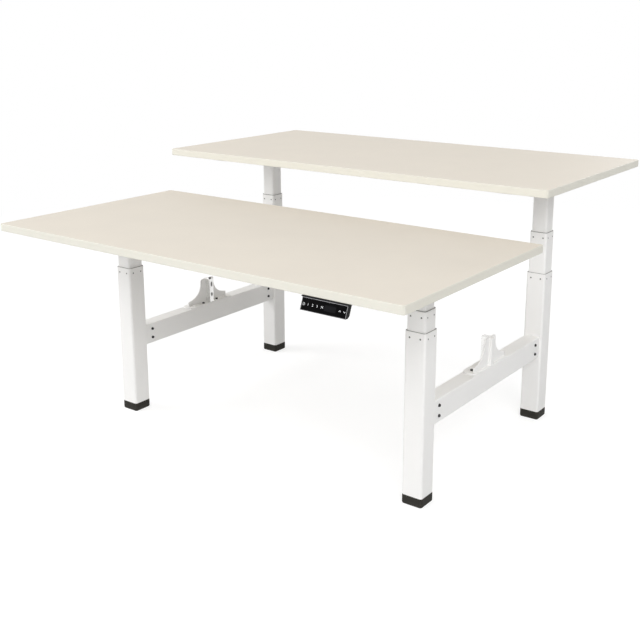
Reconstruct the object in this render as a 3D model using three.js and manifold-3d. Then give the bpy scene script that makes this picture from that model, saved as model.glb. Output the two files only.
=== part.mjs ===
// Back-to-back sit-stand bench for two: two desktops, each lifted by two three-stage columns.
// Millimetres, +Z up. X runs along the desktops, -Y is the front user's side.
// The origin is on the floor, in the middle of the bench.
import * as THREE from "three";
import { mergeVertices } from "three/addons/utils/BufferGeometryUtils.js";
import Module from "manifold-3d";

const wasm = await Module();
wasm.setup();

// Desktops
const TOP_WIDTH = 1600;
const TOP_DEPTH = 800;
const TOP_THICKNESS = 25;
const TOP_EDGE_RADIUS = 1.5;
const TOP_CORNER = 8;
const DESK_GAP = 12;

// Heights of the desktops' upper faces: fully lowered, and as they stand here
const LOWERED_HEIGHT = 620;
const FRONT_HEIGHT = 747;
const REAR_HEIGHT = 912;

// Columns
const LEG_INSET = 188;
const OUTER_SIZE = 70;
const OUTER_TOP = 545;
const TUBE_WALL = 1.5;
const TUBE_CORNER = 8;
const GUIDE_SPACE = 2;
const FIT_GAP = 0.3;
const FOOT_HEIGHT = 30;
const FOOT_OVERHANG = 0.5;
const FOOT_CHAMFER = 3;
const FOOT_SPIGOT = 12;
const BUSH_LENGTH = 60;
const BUSH_LIP = 2;
const BUSH_LIP_INSET = 0.5;
const PEG_DIAMETER = 6;
const PEG_PITCH = 36;
const PEG_DROP = 18;
const PEG_SIDES = 6;

// Drive inside each column
const SCREW_DIAMETER = 14;
const SCREW_BORE = 9;
const SCREW_FLANGE_DIAMETER = 50;
const SCREW_FLANGE = 5;
const SCREW_LENGTH = 398;
const END_PLATE = 4;
const RUNNING_GAP = 0.5;
const SPINDLE_WALL = 3;
const SPINDLE_FLANGE_DIAMETER = 30;
const SPINDLE_FLANGE = 5;
const SPINDLE_CAP = 8;
const SPINDLE_OVER_SCREW = 30;
const STAGE_CLEARANCE = 2;
const NUT_WALL = 5;
const NUT_HEIGHT = 20;
const MOTOR_DIAMETER = 46;
const MOTOR_GEARBOX_DIAMETER = 38;
const MOTOR_GEARBOX = 26;
const MOTOR_TOP_CLEARANCE = 3;
const SHAFT_DIAMETER = 8;
const SHAFT_END_CLEARANCE = 40;
const MOTOR_CLEARANCE = 8;
const ROUND_SIDES = 14;

// Under each desktop
const ARM_LENGTH = 640;
const ARM_HEIGHT = 40;
const ARM_TIP_HEIGHT = 16;
const ARM_FLAT = 150;
const ARM_SHEET = 2.5;
const BEAM_DEPTH = 90;
const BEAM_HEIGHT = 32;
const BEAM_WALL = 2;
const BOX_LENGTH = 250;
const BOX_DEPTH = 92;
const BOX_HEIGHT = 36;
const BOX_OFFSET_X = 210;
const BOX_TO_BEAM = 30;
const BOX_EDGE = 4;
const SOCKET_WIDTH = 22;
const SOCKET_HEIGHT = 14;
const SOCKET_DEPTH = 12;
const SOCKET_PITCH = 48;
const SOCKET_COUNT = 3;
const INLET_WIDTH = 28;
const INLET_HEIGHT = 20;

// Handset at the user's edge
const HANDSET_INSET = 235;
const HANDSET_WIDTH = 146;
const HANDSET_FLANGE_WIDTH = 154;
const HANDSET_FLANGE = 3;
const HANDSET_FLANGE_DEPTH = 34;
const HANDSET_DEPTH = 16;
const HANDSET_CHAMFER = 5;
const HANDSET_HEIGHT = 36;
const HANDSET_REACH = 16;
const HANDSET_TOP_REACH = 3;
const PANEL_RIM = 3;
const PANEL_RECESS = 2;

// Crossbars between the front and the rear columns
const BAR_BOTTOM = 240;
const BAR_HEIGHT = 75;
const BAR_WIDTH = 54;
const BAR_WALL = 2;
const BOLT_HOLE = 9;
const BOLT_PITCH = 33;
const BOLT_FROM_LEG = 34;

// Centre brackets and slotted posts on the crossbars
const BRACKET_OFFSET = 9;
const FLANGE_LENGTH = 240;
const FLANGE_THICKNESS = 4;
const FLANGE_BOLT_SPACINGS = [76, 178];
const FLANGE_BOLT_REACH = 8;
const FLANGE_END_FLAT = 2;
const WING_BASE = 212;
const WING_WAIST = 88;
const WING_TOP = 74;
const WING_HEIGHT = 98;
const WING_END = 21;
const WING_THICKNESS = 10;
const WING_NECK = 75;
const WING_FLARE = 7;
const WING_TOP_RADIUS = 14;
const RIB_WIDTH = 20;
const RIB_DEPTH = 11;
const RIB_DROP = 2;
const POST_WIDTH = 20;
const POST_DEPTH = 18.5;
const POST_WALL = 3;
const SLOT_WIDTH = 9;
const SLOT_END_FLAT = 0.2;
const SLOT_LENGTHS = [19, 15];
const SLOT_DROPS = [12, 55];
const LEFT_POST_TO_EDGE = 2;

// How far a cut runs past a face, how far two joined pieces overlap, and how close corners are made one
const OVERRUN = 1;
const OVERLAP = 1;
const SAME_CORNER = 1e-4;

// Sizes that follow from those above
const LEG_SPACING = TOP_WIDTH - 2 * LEG_INSET;
const HANDSET_X = TOP_WIDTH / 2 - HANDSET_INSET;
const MIDDLE_SIZE = OUTER_SIZE - 2 * (TUBE_WALL + GUIDE_SPACE);
const INNER_SIZE = MIDDLE_SIZE - 2 * (TUBE_WALL + GUIDE_SPACE);
const DESK_OFFSET = (DESK_GAP + TOP_DEPTH) / 2;
const LOWERED_UNDERSIDE = LOWERED_HEIGHT - TOP_THICKNESS;
const SCREW_BOTTOM = FOOT_HEIGHT + FOOT_SPIGOT + FIT_GAP;
const SCREW_TOP = SCREW_BOTTOM + SCREW_LENGTH;
const MIDDLE_BOTTOM = SCREW_BOTTOM + SCREW_FLANGE + STAGE_CLEARANCE;
const SPINDLE_BOTTOM = MIDDLE_BOTTOM + END_PLATE + FIT_GAP;
const SPINDLE_TOP = SCREW_TOP + SPINDLE_OVER_SCREW;
const SPINDLE_BORE = SCREW_DIAMETER + 2 * RUNNING_GAP;
const SPINDLE_DIAMETER = SPINDLE_BORE + 2 * SPINDLE_WALL;
const INNER_BOTTOM = SPINDLE_BOTTOM + SPINDLE_FLANGE + STAGE_CLEARANCE;
const INNER_TOP = LOWERED_UNDERSIDE - ARM_SHEET - 2 * FIT_GAP;
const MOTOR_BOTTOM = SPINDLE_TOP + MOTOR_CLEARANCE;
const MOTOR_TOP = INNER_TOP - MOTOR_TOP_CLEARANCE;
const SHAFT_BOTTOM = INNER_BOTTOM + SHAFT_END_CLEARANCE;
const BAR_TOP = BAR_BOTTOM + BAR_HEIGHT;
const BAR_LENGTH = 2 * DESK_OFFSET - OUTER_SIZE - 2 * FIT_GAP;
const BRACKET_DEPTH = RIB_DEPTH + WING_THICKNESS + FIT_GAP + POST_DEPTH;
const LEFT_BRACKET_SHIFT = BRACKET_DEPTH + LEFT_POST_TO_EDGE - BAR_WIDTH;
const BRACKET_BOTTOM = BAR_TOP + FIT_GAP;
const BRACKET_TOP = BRACKET_BOTTOM + WING_HEIGHT;
const ARM_WIDTH = INNER_SIZE + 2 * (FIT_GAP + ARM_SHEET);
const BEAM_LENGTH = LEG_SPACING - ARM_WIDTH - 2 * FIT_GAP;

// Finishes
const finish = (color, roughness, metalness = 0) =>
  new THREE.MeshStandardMaterial({ color, roughness, metalness });
const LAMINATE = finish(0xe5dccd, 0.55);
const WHITE_COAT = finish(0xeeeeec, 0.45);
const BLACK_PLASTIC = finish(0x1c1c1c, 0.5);
const GUIDE_PLASTIC = finish(0x4a4a4a, 0.6);
const TOUCH_PANEL = finish(0x0a0a0a, 0.12);
const STEEL = finish(0x9a9c9e, 0.35, 1);
const DARK_STEEL = finish(0x55585b, 0.5, 0.8);

// A three.js geometry as a solid, and a solid as a geometry
function solidOf(geometry) {
  const bare = geometry.clone();
  bare.deleteAttribute("normal");
  bare.deleteAttribute("uv");
  const merged = mergeVertices(bare, SAME_CORNER);
  return new wasm.Manifold(
    new wasm.Mesh({
      numProp: 3,
      vertProperties: new Float32Array(merged.attributes.position.array),
      triVerts: new Uint32Array(merged.index.array),
    }),
  );
}

function geometryOf(solid) {
  const mesh = solid.getMesh();
  const geometry = new THREE.BufferGeometry();
  geometry.setAttribute("position", new THREE.BufferAttribute(mesh.vertProperties, 3));
  geometry.setIndex(new THREE.BufferAttribute(mesh.triVerts, 1));
  geometry.computeVertexNormals();
  return geometry;
}

// A block between two corners
function block(low, high) {
  const size = high.map((value, i) => value - low[i]);
  const geometry = new THREE.BoxGeometry(...size);
  geometry.translate(...low.map((value, i) => value + size[i] / 2));
  return solidOf(geometry);
}

// A square outline with rounded corners
function roundedSquare(width, depth, radius, Outline = THREE.Shape) {
  const x = width / 2;
  const y = depth / 2;
  const outline = new Outline();
  outline.moveTo(-x + radius, -y);
  outline.lineTo(x - radius, -y);
  outline.absarc(x - radius, -y + radius, radius, -Math.PI / 2, 0);
  outline.lineTo(x, y - radius);
  outline.absarc(x - radius, y - radius, radius, 0, Math.PI / 2);
  outline.lineTo(-x + radius, y);
  outline.absarc(-x + radius, y - radius, radius, Math.PI / 2, Math.PI);
  outline.lineTo(-x, -y + radius);
  outline.absarc(-x + radius, -y + radius, radius, Math.PI, 1.5 * Math.PI);
  return outline;
}

// An outline in XY raised from one height to another
function raise(outline, bottom, top, corner = 2) {
  const geometry = new THREE.ExtrudeGeometry(outline, {
    depth: top - bottom,
    bevelEnabled: false,
    curveSegments: corner,
  });
  geometry.translate(0, 0, bottom);
  return solidOf(geometry);
}

// An outline in YZ (its x is Y, its y is Z) carried along X
function carryAlongX(outline, from, to, corner = 3) {
  const geometry = new THREE.ExtrudeGeometry(outline, {
    depth: to - from,
    bevelEnabled: false,
    curveSegments: corner,
  });
  geometry.applyMatrix4(new THREE.Matrix4().set(0, 0, 1, from, 1, 0, 0, 0, 0, 1, 0, 0, 0, 0, 0, 1));
  return solidOf(geometry);
}

// A square tube with rounded corners
function squareTube(size, wall, bottom, top) {
  const outline = roundedSquare(size, size, TUBE_CORNER);
  const inside = size - 2 * wall;
  outline.holes.push(roundedSquare(inside, inside, TUBE_CORNER - wall, THREE.Path));
  return raise(outline, bottom, top);
}

// A round bar from one point to another along X, Y or Z
function rod(diameter, centre, axis, from, to, sides = ROUND_SIDES) {
  const geometry = new THREE.CylinderGeometry(diameter / 2, diameter / 2, to - from, sides);
  if (axis === "x") geometry.rotateZ(Math.PI / 2);
  if (axis === "z") geometry.rotateX(Math.PI / 2);
  const middle = (from + to) / 2;
  const place = new THREE.Vector3(...centre);
  place[axis] = middle;
  geometry.translate(place.x, place.y, place.z);
  return solidOf(geometry);
}

// A turned piece: its profile of [radius, height] points closes on itself
function turned(profile) {
  const points = [...profile, profile[0]].map(([radius, height]) => new THREE.Vector2(radius, height));
  const geometry = new THREE.LatheGeometry(points, ROUND_SIDES);
  geometry.rotateX(Math.PI / 2);
  return solidOf(geometry);
}

const bench = new THREE.Group();

function place(parent, name, solid, material) {
  const mesh = new THREE.Mesh(geometryOf(solid), material);
  mesh.name = name;
  parent.add(mesh);
  return mesh;
}

// Pegs, or the holes they sit in: two through each side of a tube, under its top edge
function pegs(size, top, diameter, inner, outer) {
  const all = [];
  for (const along of [-PEG_PITCH / 2, PEG_PITCH / 2])
    for (const side of [-1, 1]) {
      const ends = [side * (size / 2 + outer), side * (size / 2 - inner)];
      const [from, to] = ends.sort((a, b) => a - b);
      all.push(rod(diameter, [0, along, top - PEG_DROP], "x", from, to, PEG_SIDES));
      all.push(rod(diameter, [along, 0, top - PEG_DROP], "y", from, to, PEG_SIDES));
    }
  return all.reduce((sum, peg) => sum.add(peg));
}

// A tube with its peg holes
function columnTube(size, bottom, top) {
  const reach = TUBE_WALL + FIT_GAP;
  return squareTube(size, TUBE_WALL, bottom, top).subtract(pegs(size, top, PEG_DIAMETER, reach, FIT_GAP));
}

// The guide bush in the top of a tube: a liner, a lip over the tube's edge and pegs in its holes
function guideBush(size, top) {
  const outside = size - 2 * (TUBE_WALL + FIT_GAP);
  const wall = GUIDE_SPACE - 2 * FIT_GAP;
  const liner = squareTube(outside, wall, top - BUSH_LENGTH, top + BUSH_LIP);
  const lipSize = size - 2 * BUSH_LIP_INSET;
  const lip = roundedSquare(lipSize, lipSize, TUBE_CORNER - BUSH_LIP_INSET);
  const inside = outside - wall;
  lip.holes.push(roundedSquare(inside, inside, TUBE_CORNER - TUBE_WALL, THREE.Path));
  const pegReach = TUBE_WALL + FIT_GAP + wall / 2;
  return liner
    .add(raise(lip, top + FIT_GAP, top + BUSH_LIP))
    .add(pegs(size, top, PEG_DIAMETER - 2 * FIT_GAP, pegReach, 0));
}

// The foot cap: a block with a chamfered sole and a spigot up inside the tube
function footCap() {
  const size = OUTER_SIZE + 2 * FOOT_OVERHANG;
  const sole = size - 2 * FOOT_CHAMFER;
  const half = new THREE.CylinderGeometry(size / Math.SQRT2, sole / Math.SQRT2, FOOT_CHAMFER, 4, 1);
  half.rotateX(Math.PI / 2);
  half.rotateZ(Math.PI / 4);
  half.translate(0, 0, FOOT_CHAMFER / 2);
  const body = raise(roundedSquare(size, size, TUBE_CORNER), FOOT_CHAMFER, FOOT_HEIGHT - FIT_GAP);
  const plug = OUTER_SIZE - 2 * (TUBE_WALL + FIT_GAP);
  const inside = roundedSquare(plug, plug, TUBE_CORNER - TUBE_WALL);
  const spigot = raise(inside, FOOT_HEIGHT - OVERLAP, FOOT_HEIGHT + FOOT_SPIGOT);
  const edges = raise(roundedSquare(size, size, TUBE_CORNER), 0, FOOT_HEIGHT);
  return body.add(solidOf(half).intersect(edges)).add(spigot);
}

// The screw that stands on the foot and doesn't turn
function baseScrew() {
  const bore = SCREW_BORE / 2;
  const flange = SCREW_FLANGE_DIAMETER / 2;
  const body = SCREW_DIAMETER / 2;
  return turned([
    [bore, SCREW_BOTTOM],
    [flange, SCREW_BOTTOM],
    [flange, SCREW_BOTTOM + SCREW_FLANGE],
    [body, SCREW_BOTTOM + SCREW_FLANGE],
    [body, SCREW_TOP],
    [bore, SCREW_TOP],
  ]);
}

// The hollow spindle that turns on the middle tube's end plate
function hollowSpindle() {
  const bore = SPINDLE_BORE / 2;
  const keyed = SHAFT_DIAMETER / 2 + RUNNING_GAP;
  const body = SPINDLE_DIAMETER / 2;
  const flange = SPINDLE_FLANGE_DIAMETER / 2;
  return turned([
    [bore, SPINDLE_BOTTOM],
    [flange, SPINDLE_BOTTOM],
    [flange, SPINDLE_BOTTOM + SPINDLE_FLANGE],
    [body, SPINDLE_BOTTOM + SPINDLE_FLANGE],
    [body, SPINDLE_TOP],
    [keyed, SPINDLE_TOP],
    [keyed, SPINDLE_TOP - SPINDLE_CAP],
    [bore, SPINDLE_TOP - SPINDLE_CAP],
  ]);
}

// The middle tube with the end plate that carries the spindle
function middleTube() {
  const inside = MIDDLE_SIZE - TUBE_WALL;
  const plate = raise(
    roundedSquare(inside, inside, TUBE_CORNER - TUBE_WALL),
    MIDDLE_BOTTOM,
    MIDDLE_BOTTOM + END_PLATE,
  );
  const above = MIDDLE_BOTTOM + END_PLATE + OVERRUN;
  const hole = rod(SPINDLE_BORE, [0, 0, 0], "z", MIDDLE_BOTTOM - OVERRUN, above);
  return columnTube(MIDDLE_SIZE, MIDDLE_BOTTOM, OUTER_TOP).add(plate).subtract(hole);
}

// The inner tube with its end plate and the lift nut that rides on the spindle
function innerTube() {
  const inside = INNER_SIZE - TUBE_WALL;
  const plate = raise(
    roundedSquare(inside, inside, TUBE_CORNER - TUBE_WALL),
    INNER_BOTTOM,
    INNER_BOTTOM + END_PLATE,
  );
  const bore = SPINDLE_DIAMETER + 2 * RUNNING_GAP;
  const nut = rod(bore + 2 * NUT_WALL, [0, 0, 0], "z", INNER_BOTTOM + OVERLAP, INNER_BOTTOM + NUT_HEIGHT);
  const hole = rod(bore, [0, 0, 0], "z", INNER_BOTTOM - OVERRUN, INNER_BOTTOM + NUT_HEIGHT + OVERRUN);
  return squareTube(INNER_SIZE, TUBE_WALL, INNER_BOTTOM, INNER_TOP).add(plate).add(nut).subtract(hole);
}

// The motor with its gearbox, and a square flange in the top of the inner tube
function motor() {
  const gearboxTop = MOTOR_BOTTOM + MOTOR_GEARBOX;
  const body = rod(MOTOR_DIAMETER, [0, 0, 0], "z", gearboxTop, MOTOR_TOP - OVERLAP);
  const gearbox = rod(MOTOR_GEARBOX_DIAMETER, [0, 0, 0], "z", MOTOR_BOTTOM, gearboxTop + OVERLAP);
  const size = INNER_SIZE - 2 * (TUBE_WALL + FIT_GAP);
  const flange = raise(roundedSquare(size, size, TUBE_CORNER - TUBE_WALL), MOTOR_TOP - END_PLATE, MOTOR_TOP);
  return body.add(gearbox).add(flange);
}

function driveShaft() {
  return rod(SHAFT_DIAMETER, [0, 0, 0], "z", SHAFT_BOTTOM, MOTOR_BOTTOM - FIT_GAP);
}

// One column, with its middle stage raised half as far as its inner stage
function column(name, x, y, lift) {
  const base = new THREE.Group();
  base.position.set(x, y, 0);
  place(base, `${name}_outer_tube`, columnTube(OUTER_SIZE, FOOT_HEIGHT, OUTER_TOP), WHITE_COAT);
  place(base, `${name}_foot_cap`, footCap(), BLACK_PLASTIC);
  place(base, `${name}_outer_bush`, guideBush(OUTER_SIZE, OUTER_TOP), GUIDE_PLASTIC);
  place(base, `${name}_base_screw`, baseScrew(), STEEL);
  const middle = new THREE.Group();
  middle.position.z = lift / 2;
  place(middle, `${name}_middle_tube`, middleTube(), WHITE_COAT);
  place(middle, `${name}_middle_bush`, guideBush(MIDDLE_SIZE, OUTER_TOP), GUIDE_PLASTIC);
  place(middle, `${name}_spindle`, hollowSpindle(), STEEL);
  const inner = new THREE.Group();
  inner.position.z = lift;
  place(inner, `${name}_inner_tube`, innerTube(), WHITE_COAT);
  place(inner, `${name}_motor`, motor(), DARK_STEEL);
  place(inner, `${name}_drive_shaft`, driveShaft(), STEEL);
  base.add(middle, inner);
  bench.add(base);
}

// A desktop, lowered, with its edges eased
function desktop() {
  const r = TOP_EDGE_RADIUS;
  const outline = roundedSquare(TOP_WIDTH - 2 * r, TOP_DEPTH - 2 * r, TOP_CORNER - r);
  const geometry = new THREE.ExtrudeGeometry(outline, {
    depth: TOP_THICKNESS - 2 * r,
    bevelThickness: r,
    bevelSize: r,
    bevelSegments: 2,
    curveSegments: 4,
  });
  geometry.translate(0, 0, LOWERED_UNDERSIDE + r);
  return solidOf(geometry);
}

// A side arm: a channel of folded sheet across the depth, over the head of a column
function sideArm() {
  const top = LOWERED_UNDERSIDE - FIT_GAP;
  const half = ARM_LENGTH / 2;
  const outline = new THREE.Shape([
    new THREE.Vector2(-half, top),
    new THREE.Vector2(-half, top - ARM_TIP_HEIGHT),
    new THREE.Vector2(-ARM_FLAT / 2, top - ARM_HEIGHT),
    new THREE.Vector2(ARM_FLAT / 2, top - ARM_HEIGHT),
    new THREE.Vector2(half, top - ARM_TIP_HEIGHT),
    new THREE.Vector2(half, top),
  ]);
  const x = ARM_WIDTH / 2;
  const channel = block(
    [-x + ARM_SHEET, -half + ARM_SHEET, top - 2 * ARM_HEIGHT],
    [x - ARM_SHEET, half - ARM_SHEET, top - ARM_SHEET],
  );
  return carryAlongX(outline, -x, x).subtract(channel);
}

// The beam between the two side arms: a rectangular tube
function beam() {
  const top = LOWERED_UNDERSIDE - FIT_GAP;
  const x = BEAM_LENGTH / 2;
  const y = BEAM_DEPTH / 2;
  const outside = block([-x, -y, top - BEAM_HEIGHT], [x, y, top]);
  const hollow = block(
    [-x - OVERRUN, -y + BEAM_WALL, top - BEAM_HEIGHT + BEAM_WALL],
    [x + OVERRUN, y - BEAM_WALL, top - BEAM_WALL],
  );
  return outside.subtract(hollow);
}

// The control box beside the beam, away from the user, with its row of sockets and its mains inlet
function controlBox() {
  const top = LOWERED_UNDERSIDE - FIT_GAP;
  const y = BEAM_DEPTH / 2 + BOX_TO_BEAM;
  const outline = roundedSquare(BOX_LENGTH, BOX_DEPTH, BOX_EDGE);
  const middle = y + BOX_DEPTH / 2;
  let box = raise(outline, top - BOX_HEIGHT, top).translate([BOX_OFFSET_X, middle, 0]);
  const centre = top - BOX_HEIGHT / 2;
  for (let i = 0; i < SOCKET_COUNT; i++) {
    const x = BOX_OFFSET_X + (i - (SOCKET_COUNT - 1) / 2) * SOCKET_PITCH;
    box = box.subtract(
      block(
        [x - SOCKET_WIDTH / 2, y - OVERRUN, centre - SOCKET_HEIGHT / 2],
        [x + SOCKET_WIDTH / 2, y + SOCKET_DEPTH, centre + SOCKET_HEIGHT / 2],
      ),
    );
  }
  const end = BOX_OFFSET_X + BOX_LENGTH / 2;
  const inlet = block(
    [end - SOCKET_DEPTH, middle - INLET_WIDTH / 2, centre - INLET_HEIGHT / 2],
    [end + OVERRUN, middle + INLET_WIDTH / 2, centre + INLET_HEIGHT / 2],
  );
  return box.subtract(inlet);
}

// The handset's side outline: the face leans out towards its lower edge
const handsetTop = LOWERED_UNDERSIDE - FIT_GAP;
const handsetEdge = -TOP_DEPTH / 2;
const faceTop = [handsetEdge - HANDSET_TOP_REACH, handsetTop - HANDSET_FLANGE];
const faceBottom = [handsetEdge - HANDSET_REACH, handsetTop - HANDSET_HEIGHT];
const faceLean = Math.atan2(faceTop[0] - faceBottom[0], faceTop[1] - faceBottom[1]);

// A slab parallel to the handset's face, between two depths behind it and inside a rim
function faceSlab(width, near, far, rim) {
  const along = [Math.sin(faceLean), Math.cos(faceLean)];
  const behind = [Math.cos(faceLean), -Math.sin(faceLean)];
  const at = (end, sign, depth) =>
    new THREE.Vector2(
      end[0] + sign * along[0] * rim + behind[0] * depth,
      end[1] + sign * along[1] * rim + behind[1] * depth,
    );
  const outline = new THREE.Shape([
    at(faceBottom, 1, near),
    at(faceBottom, 1, far),
    at(faceTop, -1, far),
    at(faceTop, -1, near),
  ]);
  return carryAlongX(outline, HANDSET_X - width / 2, HANDSET_X + width / 2);
}

// The handset's housing: a flange on the desktop's underside and a leaning slab with a recessed face
function handsetHousing() {
  const back = handsetEdge + HANDSET_FLANGE_DEPTH;
  const outline = new THREE.Shape([
    new THREE.Vector2(...faceTop),
    new THREE.Vector2(...faceBottom),
    new THREE.Vector2(faceBottom[0] + HANDSET_DEPTH - HANDSET_CHAMFER, faceBottom[1]),
    new THREE.Vector2(
      faceBottom[0] + HANDSET_DEPTH + HANDSET_CHAMFER * Math.tan(faceLean),
      faceBottom[1] + HANDSET_CHAMFER,
    ),
    new THREE.Vector2(faceTop[0] + HANDSET_DEPTH, faceTop[1]),
  ]);
  const slab = carryAlongX(outline, HANDSET_X - HANDSET_WIDTH / 2, HANDSET_X + HANDSET_WIDTH / 2);
  const flange = block(
    [HANDSET_X - HANDSET_FLANGE_WIDTH / 2, faceTop[0], handsetTop - HANDSET_FLANGE],
    [HANDSET_X + HANDSET_FLANGE_WIDTH / 2, back, handsetTop],
  );
  const recess = faceSlab(HANDSET_WIDTH - 2 * PANEL_RIM, -OVERRUN, PANEL_RECESS, PANEL_RIM);
  return slab.add(flange).subtract(recess);
}

function handsetPanel() {
  const gap = FIT_GAP / 2;
  return faceSlab(HANDSET_WIDTH - 2 * (PANEL_RIM + gap), gap, PANEL_RECESS - gap, PANEL_RIM + gap);
}

// Everything that one user's lift carries besides the columns' inner stages
function desk(name, turn, lift) {
  const top = new THREE.Group();
  top.rotation.z = turn;
  top.position.z = lift;
  const depth = new THREE.Group();
  depth.position.y = -DESK_OFFSET;
  place(depth, `${name}_desktop`, desktop(), LAMINATE);
  place(depth, `${name}_beam`, beam(), WHITE_COAT);
  place(depth, `${name}_control_box`, controlBox(), BLACK_PLASTIC);
  place(depth, `${name}_handset_housing`, handsetHousing(), BLACK_PLASTIC);
  place(depth, `${name}_handset_panel`, handsetPanel(), TOUCH_PANEL);
  for (const [side, sign] of [["left", -1], ["right", 1]]) {
    const arm = place(depth, `${name}_user_${side}_arm`, sideArm(), WHITE_COAT);
    arm.position.x = (sign * LEG_SPACING) / 2;
  }
  top.add(depth);
  bench.add(top);
}

// A crossbar: a rectangular tube, with bolt holes through both sides at each end
function crossbar() {
  const x = BAR_WIDTH / 2;
  const y = BAR_LENGTH / 2;
  let bar = block([-x, -y, BAR_BOTTOM], [x, y, BAR_TOP]).subtract(
    block(
      [-x + BAR_WALL, -y - OVERRUN, BAR_BOTTOM + BAR_WALL],
      [x - BAR_WALL, y + OVERRUN, BAR_TOP - BAR_WALL],
    ),
  );
  const middle = (BAR_BOTTOM + BAR_TOP) / 2;
  for (const end of [-1, 1])
    for (const row of [-1, 1]) {
      const place = [0, end * (y - BOLT_FROM_LEG), middle + (row * BOLT_PITCH) / 2];
      bar = bar.subtract(rod(BOLT_HOLE, place, "x", -x - OVERRUN, x + OVERRUN, PEG_SIDES));
    }
  return bar;
}

// The bell outline of a centre bracket: short upright ends, flanks that sweep in, a rounded top
function bellOutline() {
  const shoulder = BRACKET_BOTTOM + WING_END;
  const pull = shoulder + WING_FLARE;
  const neck = BRACKET_BOTTOM + WING_NECK;
  const top = BRACKET_TOP;
  const half = WING_TOP / 2;
  const round = half - WING_TOP_RADIUS;
  const bell = new THREE.Shape();
  bell.moveTo(WING_BASE / 2, BRACKET_BOTTOM);
  bell.lineTo(WING_BASE / 2, shoulder);
  bell.quadraticCurveTo(WING_WAIST / 2, pull, half, neck);
  bell.lineTo(half, top - WING_TOP_RADIUS);
  bell.quadraticCurveTo(half, top, round, top);
  bell.lineTo(-round, top);
  bell.quadraticCurveTo(-half, top, -half, top - WING_TOP_RADIUS);
  bell.lineTo(-half, neck);
  bell.quadraticCurveTo(-WING_WAIST / 2, pull, -WING_BASE / 2, shoulder);
  bell.lineTo(-WING_BASE / 2, BRACKET_BOTTOM);
  return bell;
}

// A centre bracket: a flange bolted on the bar, the bell plate across it and a rib on the plate's outer face
function centreBracket(shift) {
  const top = BRACKET_BOTTOM + FLANGE_THICKNESS;
  let flange = raise(
    roundedSquare(BAR_WIDTH, FLANGE_LENGTH, BAR_WIDTH / 2 - FLANGE_END_FLAT / 2),
    BRACKET_BOTTOM,
    top,
    4,
  );
  const outer = BAR_WIDTH / 2 + shift - RIB_DEPTH;
  const boltLine = outer - WING_THICKNESS - FLANGE_BOLT_REACH;
  for (const spacing of FLANGE_BOLT_SPACINGS)
    for (const end of [-1, 1]) {
      const place = [boltLine, (end * spacing) / 2, 0];
      flange = flange.subtract(rod(BOLT_HOLE, place, "z", BRACKET_BOTTOM - OVERRUN, top + OVERRUN));
    }
  const plate = carryAlongX(bellOutline(), outer - WING_THICKNESS, outer, 6);
  const rib = block(
    [outer - OVERLAP, -RIB_WIDTH / 2, BRACKET_BOTTOM],
    [outer + RIB_DEPTH, RIB_WIDTH / 2, BRACKET_TOP - RIB_DROP],
  );
  return flange.add(plate).add(rib);
}

// A slotted post: a channel with a closed top, which opens towards the bell plate
function slottedPost(shift) {
  const bottom = BRACKET_BOTTOM + FLANGE_THICKNESS + FIT_GAP;
  const inner = BAR_WIDTH / 2 + shift - BRACKET_DEPTH;
  const outer = inner + POST_DEPTH;
  let post = block([inner, -POST_WIDTH / 2, bottom], [outer, POST_WIDTH / 2, BRACKET_TOP]).subtract(
    block(
      [inner + POST_WALL, -POST_WIDTH / 2 + POST_WALL, bottom - OVERRUN],
      [outer + OVERRUN, POST_WIDTH / 2 - POST_WALL, BRACKET_TOP - POST_WALL],
    ),
  );
  SLOT_LENGTHS.forEach((length, i) => {
    const slot = roundedSquare(SLOT_WIDTH, length, SLOT_WIDTH / 2 - SLOT_END_FLAT / 2);
    const cut = carryAlongX(slot, inner - OVERRUN, inner + POST_WALL + OVERRUN);
    post = post.subtract(cut.translate([0, 0, BRACKET_TOP - SLOT_DROPS[i] - length / 2]));
  });
  return post;
}

// The two ends: crossbar, bracket and post, the last two a little past the bar's middle.
// The left end is turned half round, and its bracket stands at the inner edge of its bar
for (const [side, turn, shift] of [["right", 0, 0], ["left", Math.PI, LEFT_BRACKET_SHIFT]]) {
  const end = new THREE.Group();
  end.rotation.z = turn;
  const bar = place(end, `${side}_crossbar`, crossbar(), WHITE_COAT);
  bar.position.x = LEG_SPACING / 2;
  const bracket = place(end, `${side}_centre_bracket`, centreBracket(shift), WHITE_COAT);
  const post = place(end, `${side}_slotted_post`, slottedPost(shift), WHITE_COAT);
  for (const part of [bracket, post]) part.position.set(LEG_SPACING / 2, BRACKET_OFFSET, 0);
  bench.add(end);
}

const frontLift = FRONT_HEIGHT - LOWERED_HEIGHT;
const rearLift = REAR_HEIGHT - LOWERED_HEIGHT;
for (const [side, x] of [["left", -LEG_SPACING / 2], ["right", LEG_SPACING / 2]]) {
  column(`front_${side}`, x, -DESK_OFFSET, frontLift);
  column(`rear_${side}`, x, DESK_OFFSET, rearLift);
}
desk("front", 0, frontLift);
desk("rear", Math.PI, rearLift);

export default bench;
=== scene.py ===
"""Looks of a back-to-back sit-stand bench for two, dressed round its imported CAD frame."""
import math
from itertools import product

import bmesh
import bpy
from bpy.props import FloatProperty, FloatVectorProperty, IntProperty, PointerProperty
from mathutils import Matrix, Vector


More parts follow.
